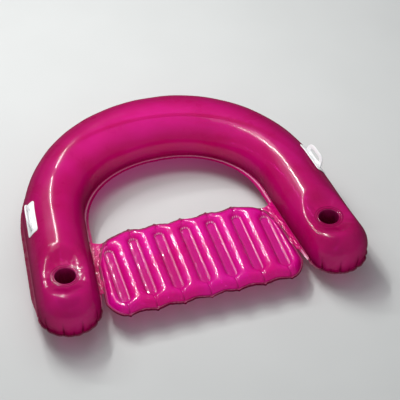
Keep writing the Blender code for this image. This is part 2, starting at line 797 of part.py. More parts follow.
LIP_FOOT = GAP + VALVE_FLANGE_THICKNESS + GAP
LIP_TOP = LIP_FOOT + STEM_LIP_THICKNESS
CAP_FOOT = LIP_TOP + GAP
BEAD_TOP = -COLLAR_DEPTH - STEM_TRAVEL - STEM_STOP_SPACE
STEM_FOOT = BEAD_TOP - STEM_BEAD_THICKNESS
COLLAR_BORE_RADIUS = STEM_RADIUS + GAP
COLLAR_RADIUS = COLLAR_BORE_RADIUS + COLLAR_WALL
STRAP_FOOT = CAP_FOOT + STRAP_STEP
HINGE_HEIGHT = STRAP_FOOT + STRAP_THICKNESS / 2
FLAP_TOP = STEM_FOOT - GAP


def valve_flange(name, frame, film, paint):
    """Welded ring with the collar that guides the stem, and its hole in the film."""
    hole = COLLAR_RADIUS + GAP
    cutter = turned([(0, CUT_OVERRUN), (hole, CUT_OVERRUN), (hole, -CUT_OVERRUN),
                     (0, -CUT_OVERRUN)], SMALL_STEPS, frame)
    combine(film, make_object("cutter_" + name, cutter), "DIFFERENCE")
    top = GAP + VALVE_FLANGE_THICKNESS
    profile = [(COLLAR_BORE_RADIUS, top), (VALVE_FLANGE_RADIUS, top), (VALVE_FLANGE_RADIUS, GAP),
               (COLLAR_RADIUS, GAP), (COLLAR_RADIUS, -COLLAR_DEPTH),
               (COLLAR_BORE_RADIUS, -COLLAR_DEPTH)]
    make_object(name + "_flange", turned(profile, SMALL_STEPS, frame), paint)


def valve_stem(name, frame, paint):
    """Tube with a lip, a tongue that carries the plug's strap, and a bead that stops it."""
    profile = [(STEM_BORE_RADIUS, LIP_TOP), (STEM_LIP_RADIUS, LIP_TOP),
               (STEM_LIP_RADIUS, LIP_FOOT), (STEM_RADIUS, LIP_FOOT), (STEM_RADIUS, BEAD_TOP),
               (STEM_BEAD_RADIUS, BEAD_TOP), (STEM_BEAD_RADIUS, STEM_FOOT),
               (STEM_BORE_RADIUS, STEM_FOOT)]
    stem = make_object(name + "_stem", turned(profile, SMALL_STEPS, frame), paint, frame)
    tongue = bar(frame, STRAP_WIDTH, STEM_RADIUS, PLUG_HINGE_OFFSET + STRAP_LUG_LENGTH,
                 LIP_FOOT + STRAP_STEP, LIP_TOP - STRAP_STEP)
    combine(stem, make_object("guide_tongue_" + name, tongue), "UNION")


def valve_plug(name, frame, paint):
    """Cap with a tapered spigot and the strap that it swings on."""
    top = CAP_FOOT + PLUG_CAP_THICKNESS
    tip = CAP_FOOT - PLUG_SPIGOT_LENGTH
    profile = [(0, top), (PLUG_CAP_RADIUS, top), (PLUG_CAP_RADIUS, CAP_FOOT),
               (PLUG_SPIGOT_RADIUS, CAP_FOOT), (PLUG_SPIGOT_TIP_RADIUS, tip), (0, tip)]
    hinge = frame @ Matrix.Translation((0, PLUG_HINGE_OFFSET, HINGE_HEIGHT))
    plug = make_object(name + "_plug", turned(profile, SMALL_STEPS, frame), paint, hinge)
    strap = bar(frame, STRAP_WIDTH, PLUG_SPIGOT_RADIUS, PLUG_HINGE_OFFSET,
                STRAP_FOOT, STRAP_FOOT + STRAP_THICKNESS)
    combine(plug, make_object("guide_strap_" + name, strap), "UNION")


def valve_flap(name, frame, paint):
    """Check flap under the stem, which air pushes open on its way in."""
    foot = FLAP_TOP - FLAP_THICKNESS
    profile = [(0, FLAP_TOP), (FLAP_RADIUS, FLAP_TOP), (FLAP_RADIUS, foot), (0, foot)]
    hinge = frame @ Matrix.Translation((0, FLAP_RADIUS, FLAP_TOP))
    make_object(name + "_flap", turned(profile, SMALL_STEPS, frame), paint, hinge)


def valve(name, frame, film, paint):
    valve_flange(name, frame, film, paint)
    valve_stem(name, frame, paint)
    valve_plug(name, frame, paint)
    valve_flap(name, frame, paint)


def tube_valve_frame():
    """On the facet of the top film that faces straight back."""
    run = SHOULDER_RUN / ARCH_FACETS
    angles = top_angles(radius_at(run))
    low = skin_point(run, angles[TUBE_VALVE_ROW])
    high = skin_point(run, angles[TUBE_VALVE_ROW + 1])
    up = (high - low).cross(Vector((1, 0, 0))).cross(Vector((-1, 0, 0))).normalized()
    out = up.cross(Vector((1, 0, 0)))
    frame = Matrix((up.cross(out), up, out)).transposed().to_4x4()
    middle = (low + high) / 2
    frame.translation = Vector((0, middle.y, middle.z))
    return frame


def seat_valve_frame():
    """On the flat ground under the seat, facing the floor."""
    height = SEAM_HEIGHT - MARGIN_LEVEL - valve_ground()
    frame = Matrix.Rotation(math.pi, 4, "Y")
    frame.translation = Vector((SEAT_VALVE_X, SEAT_VALVE_Y, height))
    return frame


def build():
    clear_scene()
    film_pink = material("film_pink", FILM_PINK, FILM_ROUGHNESS)
    seat_pink = material("seat_pink", SEAT_PINK, FILM_ROUGHNESS)
    sleeve_purple = material("sleeve_purple", SLEEVE_PURPLE, FILM_ROUGHNESS)
    handle_white = material("handle_white", HANDLE_WHITE, MOULDED_ROUGHNESS)
    valve_clear = material("valve_clear", VALVE_CLEAR, MOULDED_ROUGHNESS)
    tube_top = tube_film("tube_top_film", top_angles, 1, film_pink)
    tube_film("tube_bottom_film", bottom_angles, -1, film_pink)
    seat_film("seat_top_film", 1, False, seat_pink)
    seat_bottom = seat_film("seat_bottom_film", -1, True, seat_pink)
    for side, word in ((-1, "left"), (1, "right")):
        seat_web(side, word, film_pink)
        cup_well(side, word, tube_top, sleeve_purple)
        handle(side, word, handle_white)
    valve("tube_valve", tube_valve_frame(), tube_top, valve_clear)
    valve("seat_valve", seat_valve_frame(), seat_bottom, valve_clear)


build()
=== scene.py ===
"""Looks of the inflatable pool lounger: clear pink film, blown up tight, on a pale floor.

X runs across the arms, -Y is the open front, +Z is up, and lengths are in metres.
"""

import math

import bpy
import numpy as np
from mathutils import Matrix, Vector


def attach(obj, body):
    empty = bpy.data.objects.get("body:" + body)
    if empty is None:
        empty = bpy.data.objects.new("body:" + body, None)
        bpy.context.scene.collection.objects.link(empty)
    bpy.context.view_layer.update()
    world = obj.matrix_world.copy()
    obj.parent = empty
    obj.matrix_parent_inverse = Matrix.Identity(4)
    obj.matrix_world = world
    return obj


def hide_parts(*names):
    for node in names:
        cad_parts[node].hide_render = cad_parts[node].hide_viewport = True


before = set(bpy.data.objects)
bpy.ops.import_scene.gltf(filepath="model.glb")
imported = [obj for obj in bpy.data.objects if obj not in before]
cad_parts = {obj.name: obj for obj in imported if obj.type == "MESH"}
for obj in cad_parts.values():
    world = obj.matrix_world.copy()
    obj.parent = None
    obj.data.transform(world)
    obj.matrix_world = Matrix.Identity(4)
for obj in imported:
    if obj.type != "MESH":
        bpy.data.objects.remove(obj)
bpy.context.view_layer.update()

# The solids' own sizes, which every skin below follows
ARCH_HALF_WIDTH, ARCH_DEPTH, ARM_LENGTH = 0.412, 0.400, 0.374
SPLAY_SHARE, ARCH_POWER = 0.100, 2.15
ARM_RADIUS, BACK_RADIUS = 0.110, 0.122
SEAM_HEIGHT, TUBE_MARGIN, REST_FLAT = 0.075, 0.020, 0.0005
SHEET_SPACE = 0.0004         # from the seam's plane to a welded sheet
SHIFT = -0.01717             # of the shoulders along Y
MOUTH_FROM_TIP, MOUTH_RADIUS, MOUTH_DIP = 0.067, 0.038, 0.036
MOUTH_GROUND = 2 * ARM_RADIUS - REST_FLAT - MOUTH_DIP
WELL_DEPTH, WELL_WELD = 0.115, 0.008
WELL_FLOOR_RADIUS = MOUTH_RADIUS + WELL_WELD
SEAT_REAR, SEAT_FRONT = -0.08717, -0.46217
SEAT_HALF_WIDTH, SEAT_PITCH, ISLAND_HALF_WIDTH = 0.34803, 0.09801, 0.016
SEAT_END_RIDGE, SEAT_SCALLOP = 0.038, 0.008
ISLAND_FRONT_SPACE, ISLAND_REAR_SPACE = 0.055, 0.040
REAR_CORNER, FRONT_CORNER = (0.125, 0.115), (0.045, 0.055)
ISLANDS = 7
LAST_ISLAND = SEAT_PITCH * (ISLANDS - 1) / 2
SEAT_DEPTH = SEAT_REAR - SEAT_FRONT
WEB_REAR, WEB_FRONT, WEB_SLANT, WEB_LAP = -0.10917, -0.35417, 0.020, 0.004
FLANGE_SINK, FLANGE_LAND = 0.0001, 0.0142    # depth and reach of the film under a flange
FAR = 9.0                    # more than any distance here

# Fine pitches that both the shapes and the finishes follow
SEAM_TICKS, WELD_DOTS = 0.0048, 0.0074


# The U's centreline

def u_curve(steps=2000):
    """X, Y and run of the right half, from the back's middle to the tip's centre.

    A run is a signed distance along the centreline from the back's middle, positive on the
    right.
    """
    turn = np.linspace(0, math.pi / 2, steps + 1)
    across = ARCH_HALF_WIDTH * np.sin(turn) ** (2 / ARCH_POWER)
    back = ARCH_DEPTH * np.clip(np.cos(turn), 0, 1) ** (2 / ARCH_POWER)
    x = np.r_[across, np.full(steps, ARCH_HALF_WIDTH)]
    y = np.r_[back, -ARM_LENGTH * np.linspace(0, 1, steps + 1)[1:]]
    x = x + SPLAY_SHARE * (ARCH_DEPTH - y)
    run = np.r_[0, np.cumsum(np.hypot(np.diff(x), np.diff(y)))]
    return x, y + SHIFT, run, run[steps]


CURVE_X, CURVE_Y, CURVE_RUN, SHOULDER_RUN = u_curve()
TIP_RUN = CURVE_RUN[-1]
MOUTH_RUN = TIP_RUN - MOUTH_FROM_TIP


def centre(run):
    reach = np.minimum(np.abs(run), TIP_RUN)
    x = np.interp(reach, CURVE_RUN, CURVE_X)
    return np.stack([np.sign(run) * x, np.interp(reach, CURVE_RUN, CURVE_Y)], -1)


def mouth_place(side):
    """X and Y of a cup mouth's middle."""
    return centre(np.array([side * MOUTH_RUN]))[0]


def outward(run, reach=0.004):
    """Level unit vector square to the centreline that points out of the U."""
    along = unit(centre(np.minimum(run + reach, TIP_RUN))
                 - centre(np.maximum(run - reach, -TIP_RUN)))
    return np.stack([-along[..., 1], along[..., 0]], -1)


def radius_at(run):
    share = np.minimum(np.abs(run) / SHOULDER_RUN, 1)
    return ARM_RADIUS + (BACK_RADIUS - ARM_RADIUS) * np.cos(math.pi / 2 * share) ** 2


def seam_angle(radius):
    return np.arcsin((radius - REST_FLAT - SEAM_HEIGHT) / radius)


def smooth(low, high, value):
    """0 below low, 1 above high, and an S between them."""
    share = np.clip((value - low) / (high - low), 0, 1)
    return share * share * (3 - 2 * share)


def bell(value, width):
    return np.exp(-(value / width) ** 2)


def unit(ways):
    return ways / np.linalg.norm(ways, axis=-1, keepdims=True)


def ripple(where, seed, count, shortest, longest):
    """Smooth, fixed unevenness between about -1 and 1 over points of any dimension."""
    dice = np.random.default_rng(seed)
    total = np.zeros(where.shape[:-1])
    for _ in range(count):
        way = dice.normal(size=where.shape[-1])
        way *= 2 * math.pi / (np.linalg.norm(way) * dice.uniform(shortest, longest))
        total += np.sin(where @ way + dice.uniform(0, 2 * math.pi))
    return total / math.sqrt(count)


def ripple_along(run, *choice):
    """The same along a line."""
    return ripple(np.stack([run, 0 * run], -1), *choice)


# Meshes

def placed(name, data):
    """A new object in the scene."""
    item = bpy.data.objects.new(name, data)
    bpy.context.scene.collection.objects.link(item)
    return item


def mesh_piece(name, points, faces, node, slot, **marks):
    """A smooth piece on the float, with a number for each point under each mark's name."""
    used = sorted({corner for face in faces for corner in face})
    new = {old: index for index, old in enumerate(used)}
    faces = [[new[corner] for corner in face] for face in faces]
    marks = {mark: np.asarray(values)[used] for mark, values in marks.items()}
    mesh = bpy.data.meshes.new(name)
    mesh.from_pydata(points.reshape(-1, 3)[used].tolist(), [], faces)
    mesh.validate()
    mesh.shade_smooth()
    for mark, values in marks.items():
        field = mesh.attributes.new(mark, "FLOAT", "POINT")
        field.data.foreach_set("value", values.astype(np.float32))
    piece = placed(name, mesh)
    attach(piece, "float")
    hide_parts(node)
    return piece


def grid_faces(columns, rows, closed=False, ringed=False, first=0):
    """Quads of a grid whose points run row by row within each column.

    A closed grid's last column meets its first, and a ringed one's last row its first.
    """
    faces = []
    for column in range(columns if closed else columns - 1):
        here, there = first + column * rows, first + (column + 1) % columns * rows
        for row in range(rows if ringed else rows - 1):
            after = (row + 1) % rows
            faces.append((here + row, there + row, there + after, here + after))
    return faces


def ring_in(points, faces, marks, middle, axes, reach, ring, ring_marks):
    """Puts a round patch of rings into a skin, in place of the faces within reach.

    ring holds the patch's points, ring by ring from the hole outwards, each ring turning
    from the first axis to the second.
    """
    flat = (points - middle) @ np.array(axes).T
    near = (np.hypot(flat[:, 0], flat[:, 1]) < reach) & (
        np.linalg.norm(points - middle, axis=1) < 2 * reach)
    cut = [face for face in faces if any(near[corner] for corner in face)]
    kept = [face for face in faces if not any(near[corner] for corner in face)]
    edges = {}
    for face in cut:
        for here, there in zip(face, face[1:] + face[:1]):
            if (there, here) in edges:
                del edges[(there, here)]
            else:
                edges[(here, there)] = True
    following = {here: there for here, there in edges}
    start = next(iter(following))
    loop = [start]
    while following[loop[-1]] != start:
        loop.append(following[loop[-1]])
    turns = np.unwrap(np.arctan2(flat[loop, 1], flat[loop, 0]))
    if turns[-1] < turns[0]:
        loop, turns = loop[::-1], turns[::-1]
    backwards = following[loop[0]] != loop[1]
    rings, steps = ring.shape[:2]
    first = len(points)
    points = np.r_[points, ring.reshape(-1, 3)]
    for mark in marks:
        marks[mark] = np.r_[marks[mark], ring_marks[mark].reshape(-1)]
    new = grid_faces(rings, steps, ringed=True, first=first)
    # zip the patch's outer ring to the skin's edge, in the order of their turns
    rim = first + (rings - 1) * steps
    begin = int(round(turns[0] / (2 * math.pi) * steps))
    low, high = 0, 0
    while low < steps or high < len(loop):
        ring_turn = 2 * math.pi * (begin + low + 1) / steps
        loop_turn = turns[high + 1] if high + 1 < len(loop) else turns[0] + 2 * math.pi
        here = rim + (begin + low) % steps
        there = loop[high % len(loop)]
        if high >= len(loop) or (low < steps and ring_turn <= loop_turn):
            new.append((here, there, rim + (begin + low + 1) % steps))
            low += 1
        else:
            new.append((here, there, loop[(high + 1) % len(loop)]))
            high += 1
    if backwards:
        new = [face[::-1] for face in new]
    return points, kept + new, marks


def even_marks(marks, shape, **levels):
    """The same marks for a patch, each at its level or at 0."""
    return {mark: np.full(shape, levels.get(mark, 0.0)) for mark in marks}


def turned_ring(reaches, steps):
    """Offsets across and up of rings of points round a middle, and their reach."""
    turn = 2 * math.pi * np.arange(steps) / steps
    reach = np.asarray(reaches)[:, None]
    return reach * np.cos(turn), reach * np.sin(turn), np.broadcast_to(reach, (len(reaches), steps))


# The camera, at the photograph's viewing angle

def way_to(turn, level):
    """Unit vector at degrees round from the front and up from the level."""
    turn, level = math.radians(turn), math.radians(level)
    return Vector((math.sin(turn) * math.cos(level), -math.cos(turn) * math.cos(level),
                   math.sin(level)))


def place_camera():
    target, back, reach = Vector((0.123254, 0.070955, 0)), way_to(-17.2205, 44.4715), 5.317256
    camera = placed("camera", bpy.data.cameras.new("camera"))
    camera.data.sensor_width, camera.data.lens = 36, 126.0
    camera.data.clip_end = 60
    camera.location = target + back * reach
    camera.rotation_euler = back.to_track_quat("Z", "Y").to_euler()
    bpy.context.scene.camera = camera


# Finishes

class Wire:
    """A socket that takes sums and products with numbers and other sockets."""

    def __init__(self, finish, socket):
        self.finish, self.socket = finish, socket

    def math(self, operation, first, second, clamp=False):
        return self.finish.node("ShaderNodeMath", {"operation": operation, "use_clamp": clamp},
                                {0: first, 1: second})

    def __add__(self, other):
        return self.math("ADD", self, other)

    def __sub__(self, other):
        return self.math("SUBTRACT", self, other)

    def __rsub__(self, other):
        return self.math("SUBTRACT", other, self)

    def __mul__(self, other):
        return self.math("MULTIPLY", self, other)

    __radd__, __rmul__ = __add__, __mul__

    def within(self):
        """Its value, held between 0 and 1."""
        return self.math("ADD", self, 0, clamp=True)


class Finish:
    """A material made of nodes."""

    def __init__(self, name):
        self.material = bpy.data.materials.new(name)
        self.material.use_nodes = True
        self.tree = self.material.node_tree
        self.tree.nodes.clear()

    def node(self, kind, settings=None, values=None, out=0):
        made = self.tree.nodes.new(kind)
        for name, value in (settings or {}).items():
            if name == "stops":
                ramp = made.color_ramp
                for index, (place, tone) in enumerate(value):
                    stop = ramp.elements[index] if index < 2 else ramp.elements.new(place)
                    stop.position, stop.color = place, tone
            else:
                setattr(made, name, value)
        for name, value in (values or {}).items():
            if isinstance(value, Wire):
                self.tree.links.new(value.socket, made.inputs[name])
            else:
                made.inputs[name].default_value = value
        return Wire(self, made.outputs[out])

    def mark(self, name):
        return self.node("ShaderNodeAttribute", {"attribute_name": name}, out="Fac")

    def noise(self, scale, detail, rough=0.5, warp=0.0):
        place = self.node("ShaderNodeTexCoord", out="Object")
        return self.node("ShaderNodeTexNoise", {}, {
            "Vector": place, "Scale": scale, "Detail": detail, "Roughness": rough,
            "Distortion": warp})

    def ramp(self, value, *stops):
        tones = [(place, (tone, tone, tone, 1)) for place, tone in stops]
        return self.node("ShaderNodeValToRGB", {"stops": tones}, {0: value})

    def wave(self, value, period):
        """Rises and falls between 0 and 1 once for each period."""
        turns = value * (2 * math.pi / period)
        return self.node("ShaderNodeMath", {"operation": "SINE"}, {0: turns}) * 0.5 + 0.5

    def blend(self, share, first, second):
        return self.node("ShaderNodeMix", {"data_type": "RGBA"},
                         {0: share, 6: first, 7: second}, out=2)

    def bump(self, height, distance, under=None):
        values = {"Height": height, "Distance": distance, "Strength": 1.0}
        if under:
            values["Normal"] = under
        return self.node("ShaderNodeBump", {}, values)

    def surface(self, values):
        return self.node("ShaderNodeBsdfPrincipled", {}, values)

    def layered(self, share, below, above):
        return self.node("ShaderNodeMixShader", {}, {0: share, 1: below, 2: above})

    def facing(self, blend):
        """0 where the surface looks at the camera and 1 where it is seen edge-on."""
        return self.node("ShaderNodeLayerWeight", {}, {"Blend": blend}, out="Facing")

    def done(self, shader):
        output = self.tree.nodes.new("ShaderNodeOutputMaterial")
        self.tree.links.new(shader.socket, output.inputs["Surface"])
        return self.material


# wine red of dense film, also used as painted shade
WINE = (0.15, 0.001, 0.030, 1)
# pale pink painted glints on the welds' ticks and dots, over their real knurled bumps
PAINTED_TICK_GLINTS, PAINTED_DOT_GLINTS = (1.0, 0.60, 0.78, 1), (1.0, 0.62, 0.80, 1)
DOUBLE_FILM = (0.52, 0.02, 0.30, 1)


def film(name, through, deep, light, body, slack_depth, dark=0.88, seamed=False, islands=False):
    """Clear tinted film: partly lit body, partly see-through, darker where seen edge-on: denser
    film there, with painted shade and painted dark reflection on top.

    through tints what lies behind, and deep and light are the two tones of the film itself.
    """
    finish = Finish(name)
    cloudy = finish.noise(7.0, 3.0)
    base = finish.blend(finish.ramp(cloudy, (0.35, 0.0), (0.65, 1.0)), deep, light)
    peel = finish.noise(240.0, 2.0)
    slack = finish.noise(34.0, 3.0, 0.55, 0.4)
    normal = finish.bump(slack, slack_depth)
    normal = finish.bump(peel, 0.00004, under=normal)
    facing = finish.facing(0.5)
    rim = finish.ramp(facing, (0.12, 0.0), (0.55, 0.74), (0.88, 1.0))
    cover = (cloudy - 0.5) * 0.05 + facing * 0.4 + body
    shine = (1 - rim) * 0.95
    # edge-on darkening: partly denser film, partly painted shade and painted dark reflection on the
    # flanks
    density_and_shade_share = rim * dark
    if seamed:
        over, along = finish.mark("over"), finish.mark("along")
        inner, doubled_and_shaded = finish.mark("inner"), finish.mark("doubled_and_shaded")
        margin = finish.ramp((over + 0.030) * 25, (0.66, 1.0), (0.76, 0.0))
        weld = finish.ramp((over + 0.012) * 50, (0.02, 0.0), (0.08, 1.0), (0.30, 1.0), (0.38, 0.0))
        ticks = finish.wave(along, SEAM_TICKS)
        # the outer margin is drawn darker than the inner one: double welded film plus painted shade
        base = finish.blend(margin * (0.9 - inner * 0.45), base, WINE)
        # darker creases and puckers: doubled film with painted shade
        base = finish.blend(doubled_and_shaded * 0.9, base, WINE)
        # painted glints on the weld ticks, lightest on the inner margin
        base = finish.blend(weld * ticks * (inner * 0.4 + 0.5), base, PAINTED_TICK_GLINTS)
        cover = cover + margin * 0.40 + weld * 0.10 + doubled_and_shaded * 0.35
        shine = shine - margin * (1 - inner * 0.8)
        density_and_shade_share = density_and_shade_share + doubled_and_shaded * 0.55 + margin * (0.55 - inner * 0.55)
        density_and_shade_share = density_and_shade_share - weld * ticks * inner * 0.7
        normal = finish.bump(weld * (ticks * 0.6 + 0.4), 0.0006, under=normal)
    if islands:
        space, along = finish.mark("island"), finish.mark("dots")
        line = finish.ramp((space + 0.010) * 50, (0.40, 0.0), (0.47, 1.0), (0.54, 1.0), (0.62, 0.0))
        dots = finish.ramp(finish.wave(along, WELD_DOTS), (0.42, 0.0), (0.72, 1.0))
        flat = finish.ramp((space + 0.010) * 50, (0.30, 1.0), (0.46, 0.0))
        base = finish.blend(flat * 0.35, base, DOUBLE_FILM)
        # painted glints on the dotted island welds
        base = finish.blend(line * dots * 0.9, base, PAINTED_DOT_GLINTS)
        edge = finish.ramp((over + 0.0105) * 100, (0.25, 1.0), (0.45, 0.0))
        density_and_shade_share = density_and_shade_share + edge * 0.6 - line * dots * 0.3
        cover = cover + line * dots * 0.45 + line * 0.08 - flat * 0.06
        normal = finish.bump(line * (dots * 0.7 + 0.3), 0.0007, under=normal)
    rough = finish.ramp(cloudy, (0.2, 0.24), (0.8, 0.34))
    glossy = finish.surface({
        "Base Color": base, "Roughness": rough, "IOR": 1.5, "Specular IOR Level": 0.2,
        "Coat Weight": shine.within(), "Coat Roughness": 0.05, "Coat IOR": 1.6,
        "Normal": normal})
    clear = finish.node("ShaderNodeBsdfTransparent", {}, {"Color": through})
    dense_and_shaded = finish.surface({
        "Base Color": WINE, "Roughness": 0.4, "Specular IOR Level": 0.0, "Normal": normal})
    glow = tuple((low + high) / 2 for low, high in zip(deep, light))
    soft = finish.node("ShaderNodeBsdfTranslucent", {}, {"Color": glow, "Normal": normal})
    skin = finish.layered(cover.within(), finish.layered(0.35, clear, soft), glossy)
    return finish.done(finish.layered(density_and_shade_share.within(), skin, dense_and_shaded))


def moulded_white():
    finish = Finish("satin_white_moulding")
    grain = finish.noise(900.0, 2.0)
    dull = finish.noise(28.0, 3.0)
    base = finish.blend(finish.ramp(dull, (0.35, 0.0), (0.7, 1.0)),
                        (0.80, 0.80, 0.81, 1), (0.87, 0.87, 0.87, 1))
    normal = finish.bump(grain, 0.00006, under=finish.bump(dull, 0.0003))
    rough = finish.ramp(dull, (0.2, 0.28), (0.8, 0.42))
    return finish.done(finish.surface({
        "Base Color": base, "Roughness": rough, "IOR": 1.48, "Normal": normal}))


def clear_vinyl():
    finish = Finish("clear_valve_vinyl")
    streaks = finish.noise(120.0, 3.0)
    base = finish.blend(streaks, (0.80, 0.55, 0.68, 1), (0.92, 0.78, 0.86, 1))
    normal = finish.bump(streaks, 0.00012)
    rough = finish.ramp(streaks, (0.3, 0.12), (0.7, 0.24))
    facing = finish.facing(0.4)
    cover = (facing * 0.35 + streaks * 0.1 + 0.45).within()
    glossy = finish.surface({
        "Base Color": base, "Roughness": rough, "IOR": 1.5, "Coat Weight": 0.6,
        "Coat Roughness": 0.05, "Normal": normal})
    clear = finish.node("ShaderNodeBsdfTransparent", {}, {"Color": (0.94, 0.80, 0.88, 1)})
    return finish.done(finish.layered(cover, clear, glossy))


# The tube's skins

STATIONS = 2 * 209 + 1
TIP_COLUMNS = 150
SKIN_ROWS = 46
MARGIN_ROWS = np.array([TUBE_MARGIN, 0.0195, 0.0172, 0.0150, 0.0128, 0.0110, 0.0094, 0.0078,
                        0.0062, 0.0046, 0.0030, 0.0014])
PUCKER_PITCH, PUCKER_DEPTH, MORE_INSIDE = 0.0155, 0.0009, 0.0005
FOLD_PITCH, FOLD_DEPTH = 0.027, 0.0014
UNEVEN = 0.0009              # of the blown-up skin
# Creases at a tip: their places round it, and how far they draw in, swell beside and climb
CREASE_TURNS, SIDE_TURNS = (0.2, 0.4, 0.6, 0.8), (0.02, 0.98)
CREASE_DEPTH, CREASE_SWELL, CREASE_CLIMB = 0.0042, 0.0010, 0.064
SHORT_TURNS, SHORT_DEPTH, SHORT_CLIMB = (0.1, 0.3, 0.5, 0.7, 0.9), 0.0014, 0.022
TIP_REACH = math.pi * 0.1045     # round a tip, along its seam


def outline():
    """Run, outward way, turn round the tip and crown number of each column of a skin.

    The columns stand side by side round the U's outline. Each goes from the edge of the
    margin over the seam to the crown, or to the line on which the tube lies.
    """
    runs = np.linspace(TIP_RUN, -TIP_RUN, STATIONS)
    out = outward(runs)
    turn = np.arange(1, TIP_COLUMNS) / TIP_COLUMNS
    groups = []
    # along the outer side to the left tip, round it, back along the inner side, round the right
    for side, first in ((1, out), (-1, -out[::-1])):
        order = runs if side > 0 else runs[::-1]
        crowns = np.arange(STATIONS)[::side]
        last, way = order[-1], first[-1]
        angle = np.arctan2(way[1], way[0]) + math.pi * turn
        spin = np.stack([np.cos(angle), np.sin(angle)], -1)
        groups.append((order, first, np.full(STATIONS, -1.0), crowns))
        groups.append((np.full(len(turn), last), spin, turn, np.full(len(turn), crowns[-1])))
    return [np.concatenate(parts) for parts in zip(*groups)]


def pinch(turn, inner, along, over):
    """How far creases and puckers draw the skin in, and how dark their film is drawn: doubled film
    with painted shade in the crease valleys.
    """
    near = np.exp(-over / 0.013)
    uneven = ripple_along(along, 5, 9, 0.03, 0.12)
    phase = along / PUCKER_PITCH + 0.35 * ripple_along(along, 8, 6, 0.06, 0.2)
    pucker = 1 - np.abs(np.sin(math.pi * phase))
    depth = (PUCKER_DEPTH + MORE_INSIDE * inner) * (0.75 + 0.4 * uneven)
    total = depth * pucker ** 3 * near
    # painted shade, with doubled film, in the puckers' valleys and along the tip creases
    dark = 0.35 * pucker ** 5 * near
    for place in CREASE_TURNS + SIDE_TURNS:
        away = np.abs(np.where(turn < 0, FAR, turn) - place) * TIP_REACH
        tall = CREASE_CLIMB if place in CREASE_TURNS else CREASE_CLIMB / 2
        fade = np.clip(1 - over / tall, 0, 1)
        total += CREASE_DEPTH * np.exp(-away / 0.0055) * fade ** 1.3
        dark = dark + bell(away, 0.0028) * fade ** 0.8
        total -= CREASE_SWELL * bell(away - 0.017, 0.010) * fade
    for place in SHORT_TURNS:
        away = np.abs(np.where(turn < 0, FAR, turn) - place) * TIP_REACH
        fade = np.clip(1 - over / SHORT_CLIMB, 0, 1)
        total += SHORT_DEPTH * np.exp(-away / 0.0036) * fade
        dark = dark + 0.6 * bell(away, 0.0022) * fade
    return total, np.clip(dark, 0, 1)


def fold(run, inner, over):
    """Shallow folds that climb the inside of the tube where it turns into the arms."""
    place = np.abs(run) - SHOULDER_RUN
    where = bell(place + 0.03, 0.16) * inner
    climb = np.clip(over / 0.012, 0, 1) * np.clip(1 - over / 0.085, 0, 1)
    wave = np.abs(np.sin(math.pi * (place + 0.35 * over) / FOLD_PITCH)) - 0.6
    return FOLD_DEPTH * where * climb * wave


def dip(points):
    """Draws the crown down to the flat ground of each cup mouth, with soft folds."""
    points = points.copy()
    for side in (-1, 1):
        x, y = mouth_place(side)
        dx, dy = points[..., 0] - x, points[..., 1] - y
        away = np.hypot(dx, dy)
        low = np.minimum(MOUTH_GROUND - points[..., 2], 0)
        share = 1 - smooth(0.042, 0.132, away)
        turn = np.arctan2(dy, dx * side)
        soft = np.cos(7 * turn + 0.6) + 0.6 * np.cos(12 * turn + 2.0) + 0.4 * np.cos(19 * turn)
        folds = 0.0008 * soft * smooth(0.046, 0.066, away) * (1 - smooth(0.075, 0.112, away))
        points[..., 2] += low * share + folds
    return points


def flat_ground(points, valve, reach):
    """Presses a skin to the plane on which a valve's flange lies, less and less up to reach."""
    middle, out = valve[0], valve[3]
    offset = points - middle
    height = offset @ out
    flat = offset - height[..., None] * out
    away = np.linalg.norm(flat, axis=-1)
    share = (1 - smooth(FLANGE_LAND, reach, away)) * (np.abs(height) < 0.02)
    return points - ((height + FLANGE_SINK) * share)[..., None] * out


# Each valve's middle on the film, its ways across and up, and its way out
TUBE_VALVE = (np.array([0, 0.48998, 0.17597]), np.array([-1.0, 0, 0]),
              np.array([0, -0.45017, 0.89294]), np.array([0, 0.89294, 0.45017]))
SEAT_VALVE = (np.array([0.24502, -0.19967, 0.05035]), np.array([-1.0, 0, 0]),
              np.array([0, 1.0, 0]), np.array([0, 0, -1.0]))


def on_skin(run, way, angle, lift=0.0):
    """Point and outward normal of the tube's plain round skin."""
    radius = radius_at(run)
    reach = (radius + lift) * np.cos(angle)
    level = centre(run) + way * reach[..., None]
    height = radius - REST_FLAT + (radius + lift) * np.sin(angle)
    normal = np.concatenate([way * np.cos(angle)[..., None], np.sin(angle)[..., None]], -1)
    return np.concatenate([level, height[..., None]], -1), normal


def shaped(run, way, turn, along, angle, over, side):
    """The skin with its creases, folds and unevenness, and where its film is drawn dark: doubled
    film with painted shade in the creases.
    """
    inner = ((way * outward(run)).sum(-1) < 0) * (turn < 0)
    points, normal = on_skin(run, way, angle)
    depth, doubled_and_shaded = pinch(turn, inner, along, over)
    draw = -depth
    if side > 0:
        draw = draw + fold(run, inner, over)
    draw = draw + UNEVEN * ripple(points, 21, 14, 0.10, 0.30) * np.clip(over / 0.02, 0, 1)
    points = points + normal * draw[..., None]
    points[..., 2] += side * SHEET_SPACE * np.exp(-over / 0.01)
    if side > 0:
        points = dip(points)
        points = flat_ground(points, TUBE_VALVE, 0.030)
    else:
        points[..., 2] = np.maximum(points[..., 2], 0)
    return points, doubled_and_shaded


def tube_margin(edge, way, turn, at_tip, waves):
    """The welded margin, row by row from its edge inwards, and how far each row stands out."""
    crease_away = np.min([np.abs(turn - place) for place in CREASE_TURNS], 0) * math.pi * 0.12
    notch = 1 - 0.10 * np.exp(-crease_away / 0.004) * (turn > 0)
    tuck, stand = math.radians(18) * at_tip, MARGIN_ROWS * (1 - 0.52 * at_tip)
    margin = np.repeat(edge, len(MARGIN_ROWS), 1)
    margin[..., :2] += way[:, None, :] * (stand * notch[:, None] * np.cos(tuck))[..., None]
    margin[..., 2] -= stand * np.sin(tuck)
    margin[..., 2] += 0.0006 * waves[:, None] * (stand / TUBE_MARGIN) ** 1.2
    return margin, stand


